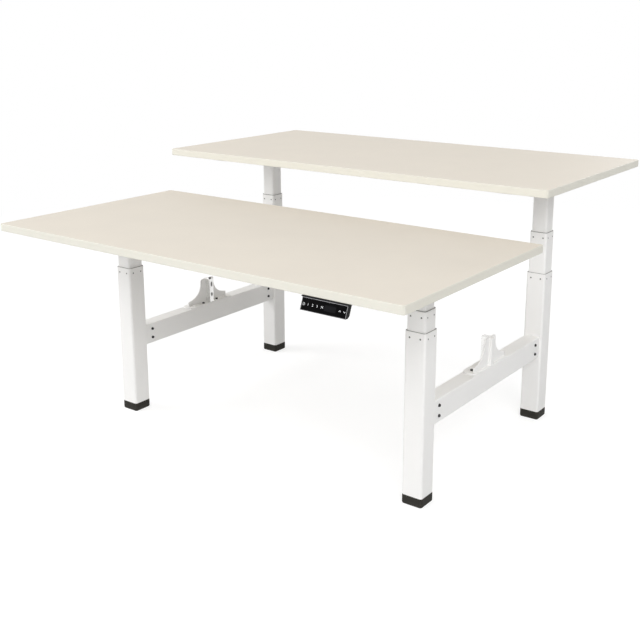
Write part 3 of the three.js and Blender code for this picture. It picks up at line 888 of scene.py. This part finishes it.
class BENCH_OT_centre_brackets(bpy.types.Operator):
    """Bell-shaped brackets on the crossbars, with the slotted posts on their inner faces"""

    bl_idname = "bench.centre_brackets"
    bl_label = "Centre brackets"

    sharp = 50

    def bracket(self, side):
        """A flange on the crossbar, a bell-shaped sheet standing on it and a ridge up its back."""
        node = f"{side}_centre_bracket"
        low, high = (Vector(corner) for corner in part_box(node))
        middle, extent = middle_of(node)
        out = OUTSIDE[side]
        near = post_back(side)
        flange, flange_ease, flange_round = 4 * MM, 0.8 * MM, extent.x / 2 - 1 * MM
        # The sheet's outer face and its thickness, with its foot sunk in the flange
        plate, sheet, sheet_ease, sunk = 10 * MM, 5 * MM, 1.2 * MM, 0.1 * MM
        # The ridge's inner and outer face, half its width, and its top below the sheet's
        ridge_in, ridge_out = plate - 3 * MM, plate + 9.8 * MM
        ridge_half, ridge_drop, ridge_ease = 10 * MM, 2 * MM, 1.8 * MM
        foot = swept(
            extent.x, extent.y, flange_round,
            slab_profile(low.z, low.z + flange, flange_ease), closed=False)
        foot.transform(over(middle))
        foot = object_of("bracket_foot", foot)
        aside = Matrix.Translation((0, middle.y, 0))
        outline = bell_outline(low.z + sunk, extent.z - sunk)
        bell = prism(outline, *sorted((near + out * (plate - sheet), near + out * plate)), "X")
        bell.transform(aside)
        bell = object_of("bracket_bell", bell)
        soften(bell, sheet_ease, self.sharp)
        inner, outer = sorted((near + out * ridge_in, near + out * ridge_out))
        ridge = block(
            Vector((inner, -ridge_half, low.z + sunk)),
            Vector((outer, ridge_half, high.z - ridge_drop)))
        ridge.transform(aside)
        ridge = object_of("bracket_ridge", ridge)
        soften(ridge, ridge_ease, self.sharp)
        obj = joined(f"{node}_coated", (foot, bell, ridge))
        dress(obj, "white_coat", "base_frame", "white_coat", node)

    def post(self, side):
        """A channel with a closed top, open towards the bell plate, with two slots in its web."""
        node = f"{side}_slotted_post"
        low, high = (Vector(corner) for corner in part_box(node))
        middle, extent = middle_of(node)
        out = OUTSIDE[side]
        wall, ease, past, lap = 3 * MM, 0.7 * MM, 2 * MM, 4.8 * MM
        slot_width, slot_round = 9 * MM, 4.4 * MM
        # Each slot's distance below the top, and its length
        slots = ((12 * MM, 19 * MM), (55 * MM, 15 * MM))
        web = middle.x - out * extent.x / 2
        back = post_back(side) + out * lap
        left, right = sorted((web, back))
        obj = object_of(
            f"{node}_coated", block(Vector((left, low.y, low.z)), Vector((right, high.y, high.z))))
        left, right = sorted((web + out * wall, back + out * wall))
        hollow = block(
            Vector((left, low.y + wall, low.z - wall)),
            Vector((right, high.y - wall, high.z - wall)))
        combine(obj, hollow, "DIFFERENCE")
        reach = sorted((web - out * past, web + out * (wall + past)))
        for drop, length in slots:
            centre = high.z - drop - length / 2
            loop = rounded_loop(slot_width, length, slot_round)
            slot = [(across + middle.y, rise + centre) for across, rise in loop]
            combine(obj, prism(slot, *reach, "X"), "DIFFERENCE")
        soften(obj, ease, self.sharp)
        dress(obj, "bright_post", "base_frame", "white_coat", node)

    def execute(self, context):
        for side in SIDES:
            self.bracket(side)
            self.post(side)
        return {"FINISHED"}


def stroke(points, width, place):
    """A flat line of one width through points on a panel, with mitred bends."""
    sharpest = 0.3
    shape = bmesh.new()
    rows = []
    for i, point in enumerate(points):
        before = (point - points[i - 1]).normalized() if i else None
        after = (points[i + 1] - point).normalized() if i + 1 < len(points) else None
        along = ((before or after) + (after or before)).normalized()
        across = Vector((-along.y, along.x)) * (width / 2)
        if before and after:
            across /= max(along.dot(after), sharpest)
        rows.append([shape.verts.new((*spot, 0)) for spot in (point + across, point - across)])
    for near, far in zip(rows, rows[1:]):
        shape.faces.new((near[0], near[1], far[1], far[0]))
    shape.transform(place)
    return shape


def digit(text, height, place):
    """A printed numeral, centred on its place."""
    share, swell = 0.69, 0.02
    curve = bpy.data.curves.new("numeral", "FONT")
    curve.body = text
    curve.size = height / share
    curve.align_x = "CENTER"
    curve.align_y = "CENTER"
    curve.offset = height * swell
    obj = bpy.data.objects.new("numeral", curve)
    bpy.context.scene.collection.objects.link(obj)
    graph = bpy.context.evaluated_depsgraph_get()
    mesh = bpy.data.meshes.new_from_object(obj.evaluated_get(graph))
    shape = bmesh.new()
    shape.from_mesh(mesh)
    shape.transform(place)
    bpy.data.objects.remove(obj)
    bpy.data.curves.remove(curve)
    bpy.data.meshes.remove(mesh)
    return shape


class BENCH_OT_handsets(bpy.types.Operator):
    """Touch handsets under the users' edges, with numbered keys, a blank window and two arrows"""

    bl_idname = "bench.handsets"
    bl_label = "Handsets"

    def face_of(self, node):
        """A frame on the panel's front: X to the user's right, Y up the face, Z out of it."""
        mesh = NODES[node].data
        slight = 0.1
        areas = {}
        for polygon in mesh.polygons:
            key = tuple(round(v, 2) for v in polygon.normal)
            if key[2] > slight and abs(key[0]) < slight:
                areas.setdefault(key, []).append(polygon)
        front = max(areas.values(), key=lambda faces: sum(face.area for face in faces))
        normal = front[0].normal.copy()
        corners = [mesh.vertices[i].co for face in front for i in face.vertices]
        centre = Vector([(min(along) + max(along)) / 2 for along in zip(*corners)])
        right = UP.cross(normal).normalized()
        rise = normal.cross(right)
        turn = Matrix((right, rise, normal)).transposed().to_4x4()
        return Matrix.Translation(centre) @ turn

    def rim_highlight(self, desk, face):
        """A thin bright line round the panel, on the housing's rim: a painted highlight that stands
        in for the light caught by the rim's bevels.
        """
        reach, corner = 2.3 * MM, 1.8 * MM
        foot, crest, slope, width = 0.05 * MM, 0.28 * MM, 0.15 * MM, 0.9 * MM
        extent = middle_of(f"{desk}_handset_panel")[1]
        rise = math.hypot(extent.y, extent.z)
        profile = [(0, foot), (slope, crest), (width - slope, crest), (width, foot)]
        shape = swept(extent.x + 2 * reach, rise + 2 * reach, corner, profile, closed=True)
        swept_piece(
            f"{desk}_handset_rim_highlight", shape, face, "handset_rim_highlight", f"{desk}_desk", "touch_panel")

    def window(self, desk, face):
        """A blank display window, a hair proud of the panel."""
        width, height, corner, proud = 36 * MM, 15 * MM, 1.5 * MM, 0.05 * MM
        aside = Matrix.Translation((20 * MM, 0, 0))
        shape = prism(rounded_loop(width, height, corner), 0.0, proud, "Z")
        shape.transform(face @ aside)
        obj = object_of(f"{desk}_handset_window", shape)
        dress(obj, "display_window", f"{desk}_desk", "touch_panel")

    def marks(self, desk, face):
        """A clock, the numbers 1 to 3, a save mark and two arrows, printed on the panel."""
        thin, line, bold, proud = 0.72 * MM, 0.9 * MM, 1.1 * MM, 0.04 * MM
        numeral, dial, turns = 5.6 * MM, 3.1, 28
        # Where each mark sits along the panel, in millimetres from its middle
        clock_at, save_at, up_at, down_at = -64, -5.5, 50.5, 65
        numbers = (("1", -50), ("2", -35.5), ("3", -21))
        angles = [step / turns * math.tau for step in range(turns + 1)]
        ring = [(dial * math.cos(angle), dial * math.sin(angle)) for angle in angles]
        hands = ((0, 1.9), (0, 0), (1.5, 0))
        save = ((-2.6, -2.8), (-2.6, 2.8), (0, 0), (2.6, 2.8), (2.6, -2.8))
        arrow = ((-3.2, -1.5), (0, 1.7), (3.2, -1.5))
        turned = [(x, -y) for x, y in arrow]

        def at(x):
            """A place on the panel, a hair above it."""
            return face @ Matrix.Translation((x * MM, 0, proud))

        def drawn(points, width, x):
            """A line through points in millimetres."""
            return stroke([Vector(point) * MM for point in points], width, at(x))

        shapes = [drawn(ring, thin, clock_at), drawn(hands, thin, clock_at)]
        shapes += [digit(text, numeral, at(x)) for text, x in numbers]
        shapes.append(drawn(save, line, save_at))
        shapes += [drawn(arrow, bold, up_at), drawn(turned, bold, down_at)]
        whole = bmesh.new()
        for shape in shapes:
            spare = bpy.data.meshes.new("mark")
            shape.to_mesh(spare)
            shape.free()
            whole.from_mesh(spare)
            bpy.data.meshes.remove(spare)
        obj = object_of(f"{desk}_handset_marks", whole)
        dress(obj, "handset_mark", f"{desk}_desk", "touch_panel")

    def execute(self, context):
        for desk in DESKS:
            body = f"{desk}_desk"
            housing, panel = f"{desk}_handset_housing", f"{desk}_handset_panel"
            eased_copy(
                f"{desk}_handset_moulding", housing, "black_plastic", body,
                bevel=0.9 * MM, angle=25)
            eased_copy(
                f"{desk}_handset_glass", panel, "touch_panel", body, bevel=0.4 * MM, angle=40)
            face = self.face_of(panel)
            # A painted highlight: a bright line round the panel in place of the highlight on the
            # rim
            self.rim_highlight(desk, face)
            self.window(desk, face)
            self.marks(desk, face)
        return {"FINISHED"}


class BENCH_OT_underframe(bpy.types.Operator):
    """Folded side arms, beams and control boxes under the desktops"""

    bl_idname = "bench.underframe"
    bl_label = "Underframe"

    def beam(self, desk):
        """A rectangular tube along the bench."""
        wall, corner = 2 * MM, 4 * MM
        node = f"{desk}_beam"
        middle, extent = middle_of(node)
        half = extent.x / 2
        profile = [(0, -half), (0, half), (wall, half), (wall, -half)]
        shape = swept(extent.y, extent.z, corner, profile, closed=True)
        turn = Matrix(((0, 0, 1), (1, 0, 0), (0, 1, 0))).to_4x4()
        swept_piece(
            f"{node}_coated", shape, Matrix.Translation(middle) @ turn, "white_coat",
            f"{desk}_desk", "white_coat", node)

    def ribs(self, desk):
        """A field of round-backed ribs on the control box's lid."""
        count, pitch, radius, proud, margin = 17, 9 * MM, 1.7 * MM, 0.8 * MM, 34 * MM
        middle, extent = middle_of(f"{desk}_control_box")
        name = f"{desk}_control_box_ribs"
        obj = grown(name, bpy.data.meshes.new("ribs"), "bench_ribs", {
            "Count": count, "Pitch": pitch, "Rib Length": extent.y - margin, "Rib Radius": radius,
            "Finish": finish_of("black_plastic")})
        start = Vector((-(count - 1) / 2 * pitch, 0, -extent.z / 2 + radius - proud))
        obj.data.transform(Matrix.Translation(middle + start))
        soften(obj)
        dress(obj, "black_plastic", f"{desk}_desk", "black_plastic")

    def pins(self, desk):
        """The three flat pins in the mains inlet at the box's end."""
        half, deep, ease = Vector((5, 1, 2)) * MM, 6.5 * MM, 0.35 * MM
        middle, extent = middle_of(f"{desk}_control_box")
        out = INLET_END[desk]
        along = middle.x + out * extent.x / 2 - out * deep
        shells = []
        for across, rise in ((-7 * MM, -2 * MM), (0, 2 * MM), (7 * MM, -2 * MM)):
            spot = Vector((along, middle.y + across, middle.z + rise))
            pin = object_of("inlet_pin", block(spot - half, spot + half))
            soften(pin, ease)
            shells.append(pin)
        dress(joined(f"{desk}_inlet_pins", shells), "steel", f"{desk}_desk", "steel")

    def execute(self, context):
        for desk in DESKS:
            body = f"{desk}_desk"
            for side in SIDES:
                node = f"{desk}_user_{side}_arm"
                eased_copy(f"{node}_coated", node, "white_coat", body, bevel=0.7 * MM, angle=30)
            self.beam(desk)
            node = f"{desk}_control_box"
            eased_copy(f"{node}_moulded", node, "black_plastic", body, bevel=1.2 * MM, angle=40)
            self.ribs(desk)
            self.pins(desk)
        return {"FINISHED"}


def new_tree(name, inputs, result):
    """A Geometry Nodes tree with named inputs and one result; gives it and its inputs' sockets."""
    tree = bpy.data.node_groups.new(name, "GeometryNodeTree")
    for label, kind in inputs.items():
        tree.interface.new_socket(label, in_out="INPUT", socket_type=f"NodeSocket{kind}")
    tree.interface.new_socket(result, in_out="OUTPUT", socket_type="NodeSocketGeometry")
    return tree, tree.nodes.new("NodeGroupInput").outputs


def close_tree(tree, spread, finish):
    """Ends a tree: its instances made real, in their finish."""
    whole = add_node(tree, "GeometryNodeRealizeInstances", None, {"Geometry": spread.outputs[0]})
    coated = add_node(tree, "GeometryNodeSetMaterial", None, {
        "Geometry": whole.outputs[0], "Material": finish})
    tree.links.new(coated.outputs[0], tree.nodes.new("NodeGroupOutput").inputs[0])
    return tree


def times(tree, value, factor):
    """A number in a tree times a fixed factor."""
    made = add_node(tree, "ShaderNodeMath", {"operation": "MULTIPLY"}, {0: value, 1: factor})
    return made.outputs[0]


def along(tree, axis, value):
    """A vector in a tree along one axis."""
    return add_node(tree, "ShaderNodeCombineXYZ", None, {axis: value}).outputs[0]


def rib_tree(name):
    """A row of round ribs along X, each lying along Y."""
    tree, given = new_tree(name, {
        "Base": "Geometry", "Count": "Int", "Pitch": "Float", "Rib Length": "Float",
        "Rib Radius": "Float", "Finish": "Material"}, "Ribs")
    row = add_node(tree, "GeometryNodeMeshLine", None, {
        "Count": given["Count"], "Offset": along(tree, "X", given["Pitch"])})
    spine = add_node(tree, "GeometryNodeCurvePrimitiveLine", None, {
        "Start": along(tree, "Y", times(tree, given["Rib Length"], -0.5)),
        "End": along(tree, "Y", times(tree, given["Rib Length"], 0.5))})
    section = add_node(tree, "GeometryNodeCurvePrimitiveCircle", None, {
        "Resolution": 16, "Radius": given["Rib Radius"]})
    rib = add_node(tree, "GeometryNodeCurveToMesh", None, {
        "Curve": spine.outputs[0], "Profile Curve": section.outputs[0], "Fill Caps": True})
    spread = add_node(tree, "GeometryNodeInstanceOnPoints", None, {
        "Points": row.outputs[0], "Instance": rib.outputs[0]})
    return close_tree(tree, spread, given["Finish"])


def fastener_tree(name):
    """Heads with a driven recess, one on each place, turned to the way that place faces."""
    tree, given = new_tree(name, {
        "Places": "Geometry", "Head Radius": "Float", "Crown Radius": "Float",
        "Head Height": "Float", "Recess Radius": "Float", "Recess Depth": "Float",
        "Recess Sides": "Int", "Finish": "Material"}, "Fasteners")
    head = add_node(tree, "GeometryNodeMeshCone", None, {
        "Vertices": 24, "Radius Top": given["Crown Radius"],
        "Radius Bottom": given["Head Radius"], "Depth": given["Head Height"]})
    recess = add_node(tree, "GeometryNodeMeshCylinder", None, {
        "Vertices": given["Recess Sides"], "Radius": given["Recess Radius"],
        "Depth": times(tree, given["Recess Depth"], 2.0)})
    raised = add_node(tree, "GeometryNodeTransform", None, {
        "Geometry": recess.outputs["Mesh"], "Translation": along(tree, "Z", given["Head Height"])})
    cut = add_node(tree, "GeometryNodeMeshBoolean", {"operation": "DIFFERENCE"}, {
        "Mesh 1": head.outputs["Mesh"], "Mesh 2": raised.outputs[0]})
    facing = add_node(tree, "GeometryNodeInputNamedAttribute", {"data_type": "FLOAT_VECTOR"}, {
        "Name": "facing"})
    turn = add_node(tree, "FunctionNodeAlignRotationToVector", {"axis": "Z"}, {
        "Vector": facing.outputs["Attribute"]})
    spread = add_node(tree, "GeometryNodeInstanceOnPoints", None, {
        "Points": given["Places"], "Instance": cut.outputs["Mesh"], "Rotation": turn.outputs[0]})
    return close_tree(tree, spread, given["Finish"])


TREES = {"bench_ribs": rib_tree, "bench_fasteners": fastener_tree}


def grown(name, base, kind, values):
    """An object whose plain mesh a Geometry Nodes tree makes from a base mesh and its inputs."""
    tree = bpy.data.node_groups.get(kind) or TREES[kind](kind)
    obj = bpy.data.objects.new(name, base)
    step = obj.modifiers.new("grown", "NODES")
    step.node_group = tree
    for socket in tree.interface.items_tree:
        if socket.in_out == "INPUT" and socket.name in values:
            step[socket.identifier] = values[socket.name]
    bpy.context.scene.collection.objects.link(obj)
    settle(obj)
    return obj


def fasteners(name, places, head, finish, body, slot):
    """One piece with a fastener at every place: (point, facing) pairs."""
    base = bpy.data.meshes.new(name)
    base.from_pydata([point for point, way in places], [], [])
    facing = base.attributes.new("facing", "FLOAT_VECTOR", "POINT")
    for item, (point, way) in zip(facing.data, places):
        item.vector = way
    obj = grown(name, base, "bench_fasteners", dict(head, Finish=finish_of(finish)))
    left = obj.data.attributes.get("facing")
    if left:
        obj.data.attributes.remove(left)
    smooth(obj.data, 30)
    dress(obj, finish, body, slot)


def head_sizes(diameter, crown, height, recess, depth, sides=6):
    """A fastener's head as inputs of its tree: its foot, its crown and its recess."""
    return {
        "Head Radius": diameter / 2, "Crown Radius": crown / 2, "Head Height": height,
        "Recess Radius": recess / 2, "Recess Depth": depth, "Recess Sides": sides}


class BENCH_OT_fasteners(bpy.types.Operator):
    """Guide pegs, crossbar bolts, bracket bolts and the screws under the desktops"""

    bl_idname = "bench.fasteners"
    bl_label = "Fasteners"

    def pegs(self):
        """Pegs that stand a hair out of the column tubes."""
        peg, length, proud = sizes().peg, 1.6 * MM, 0.1 * MM
        head = head_sizes(peg, peg * 0.8, length, peg * 0.3, 0.5 * MM, sides=12)

        def sunk(node):
            """The pegs' places, moved into the tube's wall."""
            return [(point - way * (length - proud), way) for point, way in peg_places(node)]

        outer = []
        for leg in LEGS:
            outer += sunk(f"{leg}_outer_tube")
            fasteners(
                f"{leg}_middle_pegs", sunk(f"{leg}_middle_tube"), head, "guide_peg",
                f"{leg}_middle_stage", "guide_plastic")
        fasteners("outer_pegs", outer, head, "guide_peg", "base_frame", "guide_plastic")

    def crossbar_bolts(self):
        """Two bolts on either face at each end of a crossbar."""
        bolt, from_end, from_middle = sizes().bolt, 34 * MM, 16.5 * MM
        head = head_sizes(bolt, bolt * 0.82, 4.2 * MM, bolt * 0.52, 2.6 * MM)
        places = []
        for side in SIDES:
            middle, extent = middle_of(f"{side}_crossbar")
            for end, row, way in product((-1, 1), repeat=3):
                spot = Vector((
                    way * extent.x / 2, end * (extent.y / 2 - from_end), row * from_middle))
                places.append((middle + spot, Vector((way, 0, 0))))
        fasteners("crossbar_bolts", places, head, "dark_steel", "base_frame", "dark_steel")

    def bracket_bolts(self):
        """Four bolts through each bracket's flange, and one in the top of the left post."""
        head = head_sizes(10 * MM, 9.4 * MM, 4.6 * MM, 5.4 * MM, 2.8 * MM)
        flange, inwards, outer, inner = 4 * MM, 8 * MM, 89 * MM, 38 * MM
        places = []
        capped = []
        for side in SIDES:
            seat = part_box(f"{side}_centre_bracket")[0][2] + flange
            post = middle_of(f"{side}_slotted_post")[0]
            line = post_back(side) - OUTSIDE[side] * inwards
            for across in (-outer, -inner, inner, outer):
                # The left bracket's outer bolts wear white caps
                white = side == "left" and abs(across) == outer
                spot = Vector((line, post.y + across, seat))
                (capped if white else places).append((spot, UP))
        post, extent = middle_of("left_slotted_post")
        places.append((post + UP * extent.z / 2, UP))
        fasteners("bracket_bolts", places, head, "dark_steel", "base_frame", "dark_steel")
        fasteners("bracket_caps", capped, head, "white_coat", "base_frame", "white_coat")

    def screws(self):
        """Screws up into each desktop, bolts between arms and columns, screws of the box's lid."""
        head = head_sizes(9 * MM, 6 * MM, 2.4 * MM, 4.2 * MM, 1.4 * MM)
        rows = (-280 * MM, -200 * MM, -110 * MM, 110 * MM, 200 * MM, 280 * MM)
        sheet, bolt_drop, bolt_half, inset = 2.5 * MM, 22 * MM, 14 * MM, 9 * MM
        for desk in DESKS:
            places = []
            for side in SIDES:
                node = f"{desk}_user_{side}_arm"
                middle, extent = middle_of(node)
                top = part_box(node)[1][2]
                for row in rows:
                    places.append((Vector((middle.x, middle.y + row, top - sheet)), -UP))
                out = 1 if middle.x > 0 else -1
                for row in (-bolt_half, bolt_half):
                    spot = Vector((
                        middle.x + out * extent.x / 2, middle.y + row, top - bolt_drop))
                    places.append((spot, Vector((out, 0, 0))))
            middle, extent = middle_of(f"{desk}_control_box")
            for x, y in product((-1, 1), repeat=2):
                spot = Vector((
                    x * (extent.x / 2 - inset), y * (extent.y / 2 - inset), -extent.z / 2))
                places.append((middle + spot, -UP))
            fasteners(
                f"{desk}_underframe_screws", places, head, "dark_steel", f"{desk}_desk",
                "dark_steel")

    def execute(self, context):
        self.pegs()
        self.crossbar_bolts()
        self.bracket_bolts()
        self.screws()
        return {"FINISHED"}


class BENCH_OT_drives(bpy.types.Operator):
    """Screws, spindles, shafts and motors inside the columns"""

    bl_idname = "bench.drives"
    bl_label = "Drives"

    def execute(self, context):
        finishes = {
            "base_screw": "steel", "spindle": "steel", "drive_shaft": "steel",
            "motor": "dark_steel"}
        for leg in LEGS:
            for part, finish in finishes.items():
                for held in NODES[f"{leg}_{part}"].material_slots:
                    held.material = finish_of(finish)
        return {"FINISHED"}


class BENCH_OT_stage(bpy.types.Operator):
    """Pale floor, even white light with four soft lamps, and the camera"""

    bl_idname = "bench.stage"
    bl_label = "Stage"

    def mixed(self, tree, factor, first, second):
        """A shader between two others."""
        return add_node(tree, "ShaderNodeMixShader", None, {
            0: factor, 1: first.outputs[0], 2: second.outputs[0]})

    def blend(self, tree, lit, shown, output):
        """Lights with one shader, and shows another to the camera, reflections and clear pieces."""
        path = add_node(tree, "ShaderNodeLightPath").outputs
        seen = path["Is Camera Ray"]
        for name in ("Is Glossy Ray", "Is Transmission Ray"):
            more = add_node(
                tree, "ShaderNodeMath", {"operation": "MAXIMUM"}, {0: seen, 1: path[name]})
            seen = more.outputs[0]
        mix = self.mixed(tree, seen, lit, shown)
        add_node(tree, output, None, {"Surface": mix.outputs[0]})

    def light(self, scene):
        """An even sky and four lamps, of which the last casts no shadow."""
        stage = scene.bench_stage
        world = bpy.data.worlds.new("bench_sky")
        world.use_nodes = True
        tree = world.node_tree
        tree.nodes.clear()
        sky, white = (
            add_node(tree, "ShaderNodeBackground", None, {
                "Color": (1, 1, 1, 1), "Strength": strength})
            for strength in (stage.sky, 1.0))
        self.blend(tree, sky, white, "ShaderNodeOutputWorld")
        scene.world = world
        self.panel(scene, "bench_key", stage.key, Vector((5.85, -4.91, 5.27)), True)
        self.panel(scene, "bench_side", stage.side, Vector((-6.75, -3.90, 5.00)), True)
        self.panel(scene, "bench_back", stage.back, Vector((0.00, 8.80, 2.40)), True)
        self.panel(scene, "bench_fill", stage.fill, Vector((0.64, -7.34, 5.66)), False)

    def panel(self, scene, name, power, place, shadow):
        """A square soft lamp that faces the middle of the bench."""
        middle = Vector((0, 0, 0.5))
        lamp = bpy.data.lights.new(name, "AREA")
        lamp.shape = "SQUARE"
        lamp.size = 4.5
        lamp.energy = power
        lamp.use_shadow = shadow
        obj = bpy.data.objects.new(name, lamp)
        obj.location = place
        obj.rotation_euler = (middle - place).to_track_quat("-Z", "Y").to_euler()
        scene.collection.objects.link(obj)

    def floor(self, scene):
        """Pale ground with the bench's shadow, which is white far off and clear from below."""
        radius, fade_from, fade_to = 40, 2.4, 4.4
        shadowed, glowing = 0.40, 0.69
        shape = bmesh.new()
        bmesh.ops.create_circle(shape, cap_ends=True, segments=96, radius=radius)
        floor = object_of("bench_floor", shape)
        material = bpy.data.materials.new("bench_floor")
        material.use_nodes = True
        tree = material.node_tree
        tree.nodes.clear()
        pale, half = (
            add_node(tree, "ShaderNodeBsdfDiffuse", None, {"Color": (give, give, give, 1)})
            for give in (scene.bench_stage.floor, shadowed))
        glow = add_node(tree, "ShaderNodeEmission", None, {"Strength": glowing})
        near = add_node(tree, "ShaderNodeAddShader", None, {0: half.outputs[0], 1: glow.outputs[0]})
        where = add_node(tree, "ShaderNodeTexCoord").outputs["Object"]
        away = add_node(tree, "ShaderNodeVectorMath", {"operation": "LENGTH"}, {0: where})
        fade = add_node(tree, "ShaderNodeMapRange", None, {
            "Value": away.outputs["Value"], "From Min": fade_from, "From Max": fade_to})
        white = add_node(tree, "ShaderNodeEmission")
        ground = self.mixed(tree, fade.outputs["Result"], near, white)
        clear = add_node(tree, "ShaderNodeBsdfTransparent")
        below = add_node(tree, "ShaderNodeNewGeometry").outputs["Backfacing"]
        sided = self.mixed(tree, below, ground, clear)
        self.blend(tree, pale, sided, "ShaderNodeOutputMaterial")
        floor.data.materials.append(material)

    def camera(self, scene):
        """A camera in front on the right, a little above the desktops."""
        aim, roll = Vector((-0.05673, 0, 0.60534)), math.radians(-0.077)
        data = bpy.data.cameras.new("bench_camera")
        data.lens = scene.bench_stage.lens
        data.sensor_width = 36
        data.shift_y = -0.1094
        data.clip_end = 200
        camera = bpy.data.objects.new("bench_camera", data)
        camera.location = (1.97302, -2.71149, 1.42681)
        turn = (aim - camera.location).to_track_quat("-Z", "Y").to_matrix()
        camera.rotation_euler = (turn @ Matrix.Rotation(roll, 3, "Z")).to_euler()
        scene.collection.objects.link(camera)
        scene.camera = camera

    def execute(self, context):
        scene = context.scene
        scene.view_settings.view_transform = "Standard"
        self.light(scene)
        self.floor(scene)
        self.camera(scene)
        return {"FINISHED"}


class BENCH_PT_panel(bpy.types.Panel):
    """Lists the bench's pieces and their settings"""

    bl_label = "Sit-stand bench"
    bl_idname = "BENCH_PT_panel"
    bl_space_type = "VIEW_3D"
    bl_region_type = "UI"
    bl_category = "Bench"

    def draw(self, context):
        layout = self.layout
        for operator in OPERATORS:
            layout.operator(operator.bl_idname)
        for name in GROUPS:
            group = getattr(context.scene, name)
            box = layout.box()
            for key in group.__annotations__:
                box.prop(group, key)


GROUPS = {"bench_sizes": BenchSizes, "bench_colours": BenchColours, "bench_stage": BenchStage}
OPERATORS = (
    BENCH_OT_desktops, BENCH_OT_columns, BENCH_OT_feet, BENCH_OT_crossbars,
    BENCH_OT_centre_brackets, BENCH_OT_handsets, BENCH_OT_underframe, BENCH_OT_fasteners,
    BENCH_OT_drives, BENCH_OT_stage,
)


def register():
    for group in GROUPS.values():
        bpy.utils.register_class(group)
    for name, group in GROUPS.items():
        setattr(bpy.types.Scene, name, PointerProperty(type=group))
    for item in (*OPERATORS, BENCH_PT_panel):
        bpy.utils.register_class(item)


def unregister():
    for item in (BENCH_PT_panel, *reversed(OPERATORS)):
        bpy.utils.unregister_class(item)
    for name, group in GROUPS.items():
        delattr(bpy.types.Scene, name)
        bpy.utils.unregister_class(group)


def main():
    register()
    bpy.ops.bench.desktops()
    bpy.ops.bench.columns()
    bpy.ops.bench.feet()
    bpy.ops.bench.crossbars()
    bpy.ops.bench.centre_brackets()
    bpy.ops.bench.handsets()
    bpy.ops.bench.underframe()
    bpy.ops.bench.fasteners()
    bpy.ops.bench.drives()
    bpy.ops.bench.stage()


if __name__ == "__main__":
    main()
